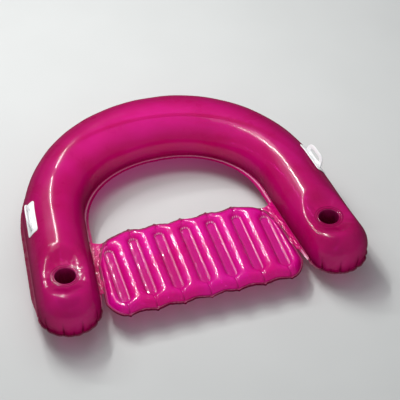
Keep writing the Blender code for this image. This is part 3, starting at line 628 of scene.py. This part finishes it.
def tube_skin(side, word):
    """The tube's top sheet, or its bottom one where side is -1."""
    run, way, turn, crown = outline()
    columns = len(run)
    radius = radius_at(run)
    low = -seam_angle(radius)
    seam = on_skin(run, way, low)[0]
    step = np.linalg.norm(np.roll(seam, -1, 0) - seam, axis=1)
    along = np.r_[0, np.cumsum(step)[:-1]]
    # the rows stand closer together near the seam
    share = np.linspace(0, 1, SKIN_ROWS) ** (1.35 if side > 0 else 1.2)
    span = side * math.pi / 2 - low
    angle = low[:, None] + span[:, None] * share
    over = np.abs(span)[:, None] * share * radius[:, None]
    body, doubled_and_shaded = shaped(run[:, None], way[:, None], turn[:, None], along[:, None], angle, over,
                           side)
    # the margin ripples where nothing is welded to it
    inner = ((way * outward(run)).sum(-1) < 0) * (turn < 0)
    held = inner * smooth(-0.44, -0.38, seam[:, 1]) * (1 - smooth(-0.09, -0.05, seam[:, 1]))
    waves = ripple_along(along, 31, 10, 0.022, 0.07) * (1 - 0.9 * held)
    at_tip = smooth(TIP_RUN - 0.09, TIP_RUN, np.abs(run))[:, None]
    edge = body[:, :1, :] * [1, 1, 0] + [0, 0, SEAM_HEIGHT + side * SHEET_SPACE]
    margin, stand = tube_margin(edge, way, turn, at_tip, waves)
    rows = len(MARGIN_ROWS) + SKIN_ROWS - 1
    crowns = np.zeros((STATIONS, 3))
    crowns[crown] = body[:, -1]
    points = np.r_[np.concatenate([margin, body[:, :-1]], 1).reshape(-1, 3), crowns]
    first = columns * rows
    faces = grid_faces(columns, rows, closed=True)
    for column in range(columns):
        after = (column + 1) % columns
        face = [column * rows + rows - 1, after * rows + rows - 1,
                first + crown[after], first + crown[column]]
        faces.append(tuple(dict.fromkeys(face)))
    faces = [tuple(int(corner) for corner in face)[::-side] for face in faces]
    none = np.zeros(STATIONS)
    top = none.copy()
    top[crown] = over[:, -1]
    foot = doubled_and_shaded[:, :1] * np.exp(-stand / 0.008)
    marks = {"over": np.r_[np.concatenate([-stand, over[:, :-1]], 1).ravel(), top],
             "along": np.r_[np.repeat(along, rows), none],
             "doubled_and_shaded": np.r_[np.concatenate([foot, doubled_and_shaded[:, :-1]], 1).ravel(), none],
             "inner": np.r_[np.repeat(inner.astype(float), rows), none]}
    if side > 0:
        points, faces, marks = with_mouths(points, faces, marks)
        points, faces, marks = with_valve_hole(points, faces, marks, TUBE_VALVE, edge=0.0137,
                                               reach=0.0165, over=0.16)
    skin = mesh_piece("tube_" + word + "_skin", points, faces, "tube_" + word + "_film",
                      "tube_film", **marks)
    return skin


# Where the rings of a mouth's and a valve's patch lie, from the hole's rim outwards
VALVE_RINGS, VALVE_STEPS = (0.0061, 0.0070, 0.0085, 0.0105, 0.0125), 48
MOUTH_STEPS, MOUTH_CUT = 120, 0.0605
MOUTH_RINGS = (0.0380, 0.0384, 0.0392, 0.0402, 0.0414, 0.0428, 0.0440, 0.0452, 0.0464, 0.0478,
               0.0494, 0.0512, 0.0532, 0.0554, 0.0576)


def with_mouths(points, faces, marks):
    """Round cup mouths in the crown, each in a patch of rings."""
    for side in (-1, 1):
        x, y = mouth_place(side)
        dx, dy, away = turned_ring(MOUTH_RINGS, MOUTH_STEPS)
        way = outward(np.array([side * MOUTH_RUN]))[0]
        offset = dx * way[0] + dy * way[1]
        height = ARM_RADIUS - REST_FLAT + np.sqrt(ARM_RADIUS ** 2 - offset ** 2)
        ring = dip(np.stack([x + dx, y + dy, height], -1))
        turn = np.arctan2(dy, dx)
        wobble = np.cos(3 * turn + 0.8 * side) + 0.7 * np.cos(5 * turn + side)
        ring[..., 2] += 0.0006 * wobble * smooth(0.038, 0.046, away)
        # a bead at the rim and one at the weld
        for tall, reach, width in ((0.0013, 0.0394, 0.0013), (0.0010, 0.0460, 0.0014)):
            ring[..., 2] += tall * bell(away - reach, width)
        ring_marks = even_marks(marks, away.shape, over=0.16)
        # two rings where the film lies doubled
        for share, reach in ((0.9, 0.0425), (0.8, 0.0500)):
            ring_marks["doubled_and_shaded"] += share * bell(away - reach, 0.0018)
        points, faces, marks = ring_in(points, faces, marks, np.array([x, y, MOUTH_GROUND]),
                                       ((1.0, 0, 0), (0, 1.0, 0)), MOUTH_CUT, ring, ring_marks)
    return points, faces, marks


def with_valve_hole(points, faces, marks, valve, edge, reach, **levels):
    """A hole for a valve's collar in its flat ground, inside a patch of rings out to edge."""
    middle, across, up, out = valve
    dx, dy, away = turned_ring(VALVE_RINGS + (edge,), VALVE_STEPS)
    ring = middle + dx[..., None] * across + dy[..., None] * up - FLANGE_SINK * out
    return ring_in(points, faces, marks, middle, (across, up), reach, ring,
                   even_marks(marks, away.shape, **levels))


# The seat pad

def corner_cut(across, width, depth):
    share = np.maximum((np.abs(across) - SEAT_HALF_WIDTH + width) / width, 0)
    return depth * share ** 2


def rear_seam(across):
    return SEAT_REAR - corner_cut(across, *REAR_CORNER)


def front_seam(across):
    return SEAT_FRONT + corner_cut(across, *FRONT_CORNER)


def scallop(across):
    return SEAT_SCALLOP * (1 - np.cos(2 * math.pi * across / SEAT_PITCH)) / 2


def splayed(across, y):
    share = np.maximum(np.abs(across) - LAST_ISLAND - ISLAND_HALF_WIDTH, 0) / SEAT_END_RIDGE
    return across + np.copysign(share, across) * SPLAY_SHARE * (WEB_FRONT - y)


def island_ends(middle):
    """Y of the centres of an island's round ends."""
    front, rear = front_seam(middle), rear_seam(middle)
    scale = (rear - front) / SEAT_DEPTH
    return (front + (ISLAND_FRONT_SPACE + ISLAND_HALF_WIDTH) * scale,
            rear - (ISLAND_REAR_SPACE + ISLAND_HALF_WIDTH) * scale)


ISLAND_PLACES = [SEAT_PITCH * index - LAST_ISLAND for index in range(ISLANDS)]
SEAT_FULLNESS, NO_SPACE = math.sqrt(0.03857), 1e-5
SEAT_MARGIN_ROWS = (0.0012, 0.0030, 0.0050, 0.0072, 0.0098)
ISLAND_LIFT, BEAD_DEPTH, RUCK_PITCH = 0.0010, 0.0008, 0.0122


def away_from(points, line):
    """Distance from level points to the nearest point of a line."""
    flat = points.reshape(-1, 2)
    least = np.full(len(flat), FAR)
    for start in range(0, len(flat), 2000):
        part = flat[start:start + 2000]
        gaps = part[:, None, :] - line[None]
        least[start:start + 2000] = np.sqrt((gaps ** 2).sum(-1).min(1))
    return least.reshape(points.shape[:-1])


def seat_heights(x, y, spaces):
    """Half thickness of the pad, and the distance to its nearest island.

    spaces are the distances to its edges. A pad stands lower the nearer its welds are.
    """
    sums, island = 0 * x, 0 * x + FAR
    for space in spaces:
        sums += 1 / np.maximum(space, NO_SPACE) ** 2
    for middle in ISLAND_PLACES:
        low, high = island_ends(middle)
        past = np.maximum(np.maximum(low - y, y - high), 0)
        space = np.hypot(x - middle, past) - ISLAND_HALF_WIDTH
        island = np.minimum(island, space)
        sums += 1 / np.maximum(space, NO_SPACE) ** 2
    height = SEAT_FULLNESS * np.sqrt(sums ** -0.5)
    return np.where(island <= 0, 0, height), island


def seat_relief(x, y, height, island, edge_away, around):
    """The height with its puckers and creases, and where the film is drawn dark: doubled film with
    painted shade in the creases.
    """
    spot = np.stack([x, y, 0 * x], -1)
    beads = np.abs(np.sin(math.pi * around / WELD_DOTS))
    near = bell(island - 0.0035, 0.003)
    near_edge = np.exp(-edge_away / 0.010)
    ruck = np.abs(np.sin(math.pi * (x / RUCK_PITCH + 0.5 * ripple(spot, 41, 6, 0.05, 0.15))))
    height = height - BEAD_DEPTH * near * beads * (island > 0)
    height = height * (1 - 0.16 * near_edge * (1 - ruck) ** 1.5)
    height = height + 0.0005 * ripple(spot, 43, 16, 0.03, 0.12) * np.clip(height / 0.01, 0, 1)
    doubled_and_shaded = 0 * x
    at_seam = np.exp(-edge_away / 0.016)
    # soft creases run from the islands' tips to the seams
    for middle in ISLAND_PLACES:
        low, high = island_ends(middle)
        beyond = np.maximum(low - ISLAND_HALF_WIDTH - y, y - high - ISLAND_HALF_WIDTH)
        crease = np.exp(-np.abs(x - middle) / 0.0042) * smooth(-0.002, 0.012, beyond)
        height = height - 0.34 * height * crease
        # dark lines in these creases: doubled film with painted shade
        doubled_and_shaded += 0.9 * bell(x - middle, 0.0026) * (beyond > 0) * at_seam
    inside = smooth(0.0, 0.010, -island)
    height = height + inside * ISLAND_LIFT + 0.0003 * inside * ripple(spot, 44, 8, 0.012, 0.05)
    return height, np.clip(doubled_and_shaded, 0, 1)


def seat_margin(seam, numbers, first):
    """Points and faces of the margin, ring by ring from the seam outwards, and its run."""
    way = np.roll(seam, -3, 0) - np.roll(seam, 3, 0)
    way = unit(np.stack([way[:, 1], -way[:, 0], 0 * way[:, 0]], -1))
    run = np.r_[0, np.cumsum(np.linalg.norm(np.diff(seam, axis=0), axis=1))]
    wave = ripple_along(run, 47, 10, 0.012, 0.05)
    held = smooth(0.30, 0.33, np.abs(seam[:, 0]))
    to_island = np.min([np.abs(seam[:, 0] - middle) for middle in ISLAND_PLACES], 0)
    spike = 0.6 * bell(to_island, 0.0040)
    points, faces = [], []
    for index, stand in enumerate(SEAT_MARGIN_ROWS):
        ring = seam + way * (stand * (1 + spike))[:, None]
        ring[:, 2] += 0.0012 * wave * (1 - 0.8 * held) * (stand / 0.01) ** 1.3
        points.append(ring)
        new = np.arange(len(ring)) + first + index * len(ring)
        corners = numbers, new, np.roll(new, -1), np.roll(numbers, -1)
        faces += list(zip(*(corner.tolist() for corner in corners)))
        numbers = new
    return np.concatenate(points), faces, run


def seat_skin(side, word):
    """The pad's top sheet, or its bottom one where side is -1."""
    columns, rows = ((240, 120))
    nominal = np.linspace(-SEAT_HALF_WIDTH, SEAT_HALF_WIDTH, columns + 1)
    share = np.linspace(0, 1, rows + 1)
    share = share - 0.35 * np.sin(2 * math.pi * share) / (2 * math.pi)
    front = front_seam(nominal) + scallop(nominal)
    rear = rear_seam(nominal) - scallop(nominal)
    y = front[:, None] + (rear - front)[:, None] * share
    x = splayed(np.broadcast_to(nominal[:, None], y.shape), y)
    level = np.stack([x, y], -1)
    spaces = []
    for edge in (level[:, 0], level[:, -1], level[0], level[-1]):
        steps = np.linspace(0, len(edge) - 1, 3 * len(edge))
        fine = [np.interp(steps, np.arange(len(edge)), edge[:, axis]) for axis in (0, 1)]
        spaces.append(away_from(level, np.stack(fine, -1)))
    height, island = seat_heights(x, y, spaces)
    edge_away = np.minimum.reduce(spaces)
    # dots run up an island's long sides and across its ends
    around = np.where(np.abs(np.abs(x - np.round((x + LAST_ISLAND) / SEAT_PITCH) * SEAT_PITCH
                                    + LAST_ISLAND)) > 0.011, y, x)
    height, doubled_and_shaded = seat_relief(x, y, height, island, edge_away, around)
    points = np.stack([x, y, SEAM_HEIGHT + side * (SHEET_SPACE + height)], -1)
    if side < 0:
        points = flat_ground(points, SEAT_VALVE, 0.026)
    points = points.reshape(-1, 3)
    grid = np.arange(len(points)).reshape(columns + 1, rows + 1)
    numbers = np.r_[grid[:, 0], grid[-1, 1:], grid[-2::-1, -1], grid[0, -2:0:-1]]
    margin, more, run = seat_margin(points[numbers], numbers, len(points))
    faces = [tuple(face)[::side] for face in grid_faces(columns + 1, rows + 1) + more]
    points = np.r_[points, margin]
    spare = np.full(len(margin), FAR)
    marks = {"over": np.r_[edge_away.ravel(), -np.repeat(SEAT_MARGIN_ROWS, len(run))],
             "along": np.r_[x.ravel(), np.tile(run, len(SEAT_MARGIN_ROWS))],
             "island": np.r_[island.ravel(), spare], "dots": np.r_[around.ravel(), spare],
             "doubled_and_shaded": np.r_[doubled_and_shaded.ravel(), 0 * spare], "inner": np.full(len(points), 0.15)}
    if side < 0:
        points, faces, marks = with_valve_hole(points, faces, marks, SEAT_VALVE, edge=0.0135,
                                               reach=0.0160, over=0.1, island=0.03)
    skin = mesh_piece("seat_" + word + "_skin", points, faces, "seat_" + word + "_film",
                      "seat_film", **marks)
    return skin


# The webs between the seat's ends and the arms

def line_at(line, y):
    """X at which a line reaches each Y."""
    order = np.argsort(line[:, 1])
    return np.interp(y, line[order, 1], line[order, 0])


WEB_BOW_REAR, WEB_BOW_FRONT, WEB_LIFT, EDGE_STEPS = 0.012, 0.006, 0.0016, 60


def web(side, word):
    """A strip of film from the seat's end margin to an arm's inner margin."""
    rows, columns = ((150, 36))
    down = np.linspace(0, 1, rows + 1)[:, None]
    share = np.linspace(0, 1, columns + 1)[None, :]
    nominal = np.linspace(LAST_ISLAND - 0.03, SEAT_HALF_WIDTH, EDGE_STEPS)
    rear = rear_seam(nominal) - scallop(nominal)
    seat_y = np.r_[rear, np.linspace(rear[-1], WEB_FRONT - 0.03, EDGE_STEPS)[1:]]
    nominal = np.r_[nominal, np.full(EDGE_STEPS - 1, SEAT_HALF_WIDTH)]
    seat = np.stack([splayed(nominal, seat_y), seat_y], -1)
    way = unit(np.gradient(seat, axis=0))
    seat = seat + np.stack([-way[:, 1], way[:, 0]], -1) * WEB_LAP
    runs = np.linspace(0.2, TIP_RUN, 400)
    radius = radius_at(runs)
    arm = centre(runs) - outward(runs) * (radius * np.cos(seam_angle(radius)))[:, None]
    y = WEB_REAR + (WEB_FRONT - WEB_REAR) * down
    y_far = y + WEB_SLANT * (1 - down)
    near = np.concatenate([line_at(seat, y), y], 1)
    far = np.concatenate([line_at(arm, y_far) - WEB_LAP, y_far], 1)
    level = near[:, None, :] + (far - near)[:, None, :] * share[..., None]
    bow = np.sin(math.pi * share)
    level[..., 1] -= WEB_BOW_REAR * bow * np.maximum(1 - 2 * down, 0)
    level[..., 1] += WEB_BOW_FRONT * bow * np.maximum(4 * down - 3, 0)
    spot = np.stack([level[..., 0], level[..., 1], 0 * level[..., 0]], -1)
    folds = np.abs(ripple(spot, 61, 5, 0.014, 0.034)) - 0.7
    folds = folds + 0.5 * np.abs(ripple(spot, 62, 6, 0.006, 0.014))
    height = SEAM_HEIGHT + WEB_LIFT + 0.0019 * folds * np.clip(bow, 0, 1) ** 0.6 + 0.0009 * bow
    points = np.stack([level[..., 0] * side, level[..., 1], height], -1)
    faces = [face[::-side] for face in grid_faces(rows + 1, columns + 1)]
    piece = mesh_piece("seat_web_" + word + "_film", points, faces,
                       "seat_web_" + word, "tube_film")
    return piece


# The cup wells

WELL_ROWS, FLOOR_RINGS = 40, 18
WELL_RINGS = [[0.0462], [0.0430], [0.0400]]


def well_parts(side, word):
    """The sleeve, with its welded rings above and below, and the floor under it."""
    steps = MOUTH_STEPS
    x, y = mouth_place(side)
    top, foot = MOUTH_GROUND - 0.0011, MOUTH_GROUND - 0.0008 - WELL_DEPTH
    turn = 2 * math.pi * np.arange(steps) / steps
    down = np.linspace(0, 1, WELL_ROWS)[:, None]
    wave = 0.5 + 0.5 * np.cos(9 * turn + 2.0 * np.sin(3 * turn) + 3 * down + side)
    sag = np.sin(math.pi * down) ** 0.7
    reach = MOUTH_RADIUS - (0.0006 + 0.0026 * wave * sag)
    reach = reach - 0.0010 * sag * np.abs(np.sin(14 * turn + 9 * down))
    ring = np.repeat(WELL_RINGS, steps, 1)
    reach = np.r_[ring, reach, ring[::-1]]
    height = np.r_[[[top]] * 3, top + (foot - top) * down, [[foot]] * 3]
    points = np.stack([x + reach * np.cos(turn), y + reach * np.sin(turn),
                       np.broadcast_to(height, reach.shape)], -1)
    faces = [(first, fourth, third, second)
             for first, second, third, fourth in grid_faces(len(points), steps, ringed=True)]
    wall = mesh_piece("cup_sleeve_" + word + "_film", points, faces,
                      "cup_sleeve_" + word, "sleeve")
    dx, dy, away = turned_ring(np.linspace(0.002, WELL_FLOOR_RADIUS, FLOOR_RINGS), steps)
    level = foot - 0.0006 - 0.0004 * np.cos(5 * np.arctan2(dy, dx)) * smooth(0, 0.03, away)
    disc = np.stack([x + dx, y + dy, level], -1).reshape(-1, 3)
    faces = grid_faces(FLOOR_RINGS, steps, ringed=True)
    faces += [(len(disc), step, (step + 1) % steps) for step in range(steps)]
    plate = mesh_piece("cup_floor_" + word + "_film", np.r_[disc, [[x, y, foot - 0.0006]]], faces,
                       "cup_floor_" + word, "sleeve")
    return wall, plate


# The handles

PAD_LENGTH, PAD_WIDTH, PAD_CORNER, PAD_TOP = 0.144, 0.052, 0.010, 0.0020
LOOP_LENGTH, LOOP_HEIGHT, LOOP_HALF, LOOP_ROUND = 0.104, 0.040, 0.00275, 0.0020
SLOT_LENGTH, SLOT_LOW, SLOT_HIGH = 0.064, 0.0105, 0.0265
HANDLE_RUN, HANDLE_ANGLE, LEAN = SHOULDER_RUN + 0.014, math.radians(40), math.radians(28)
HANDLE_SPACE = 0.0003        # from the film to the pad
LOOP_BASE, LOOP_FOOT = 0.0004, 0.0006    # lowest edge of the loop, flat and as it leans


def over_flank(side, along, around, lift, reach=0.0):
    """Point at distances along the arm and round it from the handle's middle."""
    run = side * HANDLE_RUN + along
    angle, way = HANDLE_ANGLE + around / radius_at(run), outward(run)
    point, _ = on_skin(run, way, angle, HANDLE_SPACE + lift)
    up = np.concatenate([-way * np.sin(angle)[..., None], np.cos(angle)[..., None]], -1)
    return point + up * np.asarray(reach)[..., None]


def pad_lines(half):
    """Places of the pad's grid lines from edge to edge, close together near the edges."""
    near = np.array([0, 0.00012, 0.0004, 0.0008, 0.0013, 0.0020, 0.0028, 0.0040, 0.0055])
    steps = max(int((half - near[-1]) / 0.004), 3)
    inner = np.linspace(near[-1], half, steps + 1)[1:]
    reach = half - np.r_[near, inner]
    return np.r_[-reach, reach[:-1][::-1]]


def pad(side):
    """Points and faces of the handle's pad: rounded corners, soft edge, shallow border."""
    x, y = np.meshgrid(pad_lines(PAD_LENGTH / 2), pad_lines(PAD_WIDTH / 2), indexing="ij")
    inset = np.minimum(PAD_LENGTH / 2 - np.abs(x), PAD_WIDTH / 2 - np.abs(y))
    length, width = PAD_LENGTH / 2 - inset, PAD_WIDTH / 2 - inset
    corner = np.maximum(PAD_CORNER - inset, 0)
    dx, dy = np.abs(x) - (length - corner), np.abs(y) - (width - corner)
    round_it = (dx > 0) & (dy > 0) & (corner > 0)
    scale = np.where(round_it, corner / np.maximum(np.hypot(dx, dy), 1e-9), 1)
    new_x = np.where(round_it, length - corner + dx * scale, np.abs(x)) * np.sign(x)
    new_y = np.where(round_it, width - corner + dy * scale, np.abs(y)) * np.sign(y)
    share = np.clip(inset / 0.0013, 0, 1)
    top = PAD_TOP * np.sqrt(1 - (1 - share) ** 2)
    top = top - 0.0005 * smooth(0.0035, 0.0055, inset)
    upper = over_flank(side, new_x, new_y, top)
    lower = over_flank(side, new_x, new_y, 0 * top)
    faces = grid_faces(*x.shape)
    points = np.r_[upper.reshape(-1, 3), lower.reshape(-1, 3)]
    return points, faces + [tuple(corner + x.size for corner in face)[::-1] for face in faces]


def arch(length, turn):
    """Along and height share of an arched outline, at turns from its right foot."""
    power = 2 / 3.4
    return (length / 2 * np.sign(np.cos(turn)) * np.abs(np.cos(turn)) ** power,
            np.abs(np.sin(turn)) ** power)


def loop(side):
    """Points and faces of the leaning plate with its finger hole and rounded edges."""
    half = 64
    turn = np.linspace(0, math.pi, half + 1)
    x, high = arch(LOOP_LENGTH, turn)
    base = np.linspace(-1, 1, half + 1)[1:-1]
    outer = np.r_[np.stack([x, LOOP_HEIGHT * high], -1),
                  np.stack([LOOP_LENGTH / 2 * base, np.full(half - 1, LOOP_BASE)], -1)]
    outer[:, 1] = np.maximum(outer[:, 1], LOOP_BASE)
    middle, half_hole = (SLOT_LOW + SLOT_HIGH) / 2, (SLOT_HIGH - SLOT_LOW) / 2
    x, high = arch(SLOT_LENGTH, turn)
    hole = np.r_[np.stack([x, middle + half_hole * high], -1),
                 np.stack([x[::-1], middle - half_hole * high], -1)[1:-1]]
    inwards = unit(hole - outer)
    curve = [(LOOP_ROUND * (1 - math.cos(bend)), LOOP_HALF - LOOP_ROUND * (1 - math.sin(bend)))
             for bend in np.linspace(0, math.pi / 2, 6)]
    # once round the section: from the outer edge to the hole's, and back on the other face
    ring = [(0, *spot) for spot in curve] + [(1, *spot) for spot in curve[::-1]]
    ring += [(1 - at_hole, value, -level) for at_hole, value, level in ring]
    parts = []
    for at_hole, value, level in ring:
        place = hole - inwards * value if at_hole else outer + inwards * value
        height = place[:, 1] * math.cos(LEAN) - level * math.sin(LEAN)
        shift = place[:, 1] * math.sin(LEAN) + level * math.cos(LEAN)
        height = np.maximum(height, LOOP_FOOT)
        parts.append(over_flank(side, place[:, 0], 0 * height, height, shift))
    faces = grid_faces(len(outer), len(ring), closed=True, ringed=True)
    return np.stack(parts, 1).reshape(-1, 3), faces


def handle(side, word):
    """A pad with its loop, as one moulding."""
    points, faces = pad(side)
    more, loops = loop(side)
    faces = faces + [tuple(corner + len(points) for corner in face) for face in loops]
    points = np.r_[points, more]
    return mesh_piece("handle_" + word + "_grip", points, faces, "handle_" + word, "handle")


# Floor, backdrop and lamps

FLOOR_GAP = 0.0004           # from the floor to the float's lowest points


def stage():
    reach = 14.0
    mesh = bpy.data.meshes.new("floor")
    mesh.from_pydata([(-reach, -reach, 0), (reach, -reach, 0), (reach, reach, 0),
                      (-reach, reach, 0)], [], [(0, 1, 2, 3)])
    floor = placed("floor", mesh)
    floor.location.z = -FLOOR_GAP
    finish = Finish("pale_floor")
    grain = finish.noise(3.0, 2.0)
    base = finish.blend(grain, (0.54, 0.55, 0.54, 1), (0.58, 0.59, 0.58, 1))
    mesh.materials.append(finish.done(finish.surface({"Base Color": base, "Roughness": 0.9})))

    world = bpy.data.worlds.new("studio")
    world.use_nodes = True
    bpy.context.scene.world = world
    sky = world.node_tree.nodes["Background"].inputs
    sky["Color"].default_value, sky["Strength"].default_value = (0.92, 0.95, 1.0, 1), 0.26


def lit_panel(name, place, turned, width, depth, power, mirrored):
    light = bpy.data.lights.new(name, "AREA")
    light.shape, light.size, light.size_y, light.energy = "RECTANGLE", width, depth, power
    item = placed(name, light)
    item.location, item.rotation_euler = place, turned
    item.visible_glossy = mirrored


def lamp(name, turn, level, reach, width, depth, power, mirrored=False):
    """A soft rectangular lamp that looks at the middle of the float."""
    way = way_to(turn, level)
    lit_panel(name, way * reach, way.to_track_quat("Z", "Y").to_euler(), width, depth, power,
              mirrored)


def strip(name, start, end, reach, width, power):
    """A long lamp from one direction to another; a row of them draws a curved gleam."""
    start, end = way_to(*start) * reach, way_to(*end) * reach
    middle = (start + end) / 2
    ahead = (end - start).normalized()
    behind = (middle - ahead * middle.dot(ahead)).normalized()
    turned = Matrix((ahead.cross(behind), ahead, behind)).transposed().to_euler()
    lit_panel(name, middle, turned, width, (end - start).length, power, True)


def build():
    bpy.context.scene.view_settings.view_transform = "Standard"
    place_camera()
    tube = film("tube_pink_film", through=(0.96, 0.22, 0.76, 1), deep=(0.78, 0.003, 0.20, 1),
                light=(0.92, 0.004, 0.30, 1), body=0.34, slack_depth=0.0003, seamed=True)
    seat = film("seat_pink_film", through=(0.98, 0.18, 0.78, 1), deep=(0.95, 0.002, 0.32, 1),
                light=(1.00, 0.004, 0.46, 1), body=0.44, slack_depth=0.0004, dark=0.5,
                seamed=True, islands=True)
    crinkled = film("crinkled_pink_film", through=(0.92, 0.14, 0.56, 1),
                    deep=(0.80, 0.002, 0.19, 1), light=(0.94, 0.004, 0.30, 1), body=0.50,
                    slack_depth=0.0020, dark=0.5)
    # the sleeves' film is drawn darker than the tube's, as painted shade inside the wells
    well = film("well_film_with_painted_shade", through=(0.50, 0.05, 0.22, 1), deep=(0.22, 0.004, 0.062, 1),
                light=(0.52, 0.016, 0.18, 1), body=0.85, slack_depth=0.0014, dark=0.5)
    white, vinyl = moulded_white(), clear_vinyl()
    for skin, look in ((tube_skin, tube), (seat_skin, seat)):
        skin(1, "top").data.materials.append(look)
        skin(-1, "bottom").data.materials.append(look)
    for side, word in ((-1, "left"), (1, "right")):
        web(side, word).data.materials.append(crinkled)
        for piece in well_parts(side, word):
            piece.data.materials.append(well)
        handle(side, word).data.materials.append(white)
    for name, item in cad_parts.items():
        if "valve" in name:
            item.data.materials.clear()
            item.data.materials.append(vinyl)
    stage()
    # the gleam along the crown follows these directions, each a turn and a level in degrees
    path = [(-175, 45), (-169, 53), (-145, 61), (-108, 74), (-40, 81)]
    for index, (width, power, halo_width, halo) in enumerate((
            (0.17, 25, 0.7, 8), (0.17, 46, 1.2, 22), (0.12, 18, 1.1, 10), (0.10, 0.3, 0.9, 4))):
        strip("core_" + str(index), path[index], path[index + 1], 4.2, width, power)
        strip("halo_" + str(index), path[index], path[index + 1], 4.3, halo_width, halo)
    lamp("overhead", -70, 82, 3.8, 4.0, 4.0, 4)
    lamp("front", 0, 24, 5.2, 6.0, 2.4, 20)
    lamp("low_front", 0, 11, 4.4, 2.4, 0.8, 34)
    lit_panel("over_the_back", (0, 0.40, 1.6), (0, 0, 0), 1.4, 0.8, 7, False)
    lamp("horizon", 180, 18, 4.6, 4.6, 1.0, 5, mirrored=True)
    strip("spur", (-160, 48), (-142, 39), 4.1, 0.16, 26)


build()
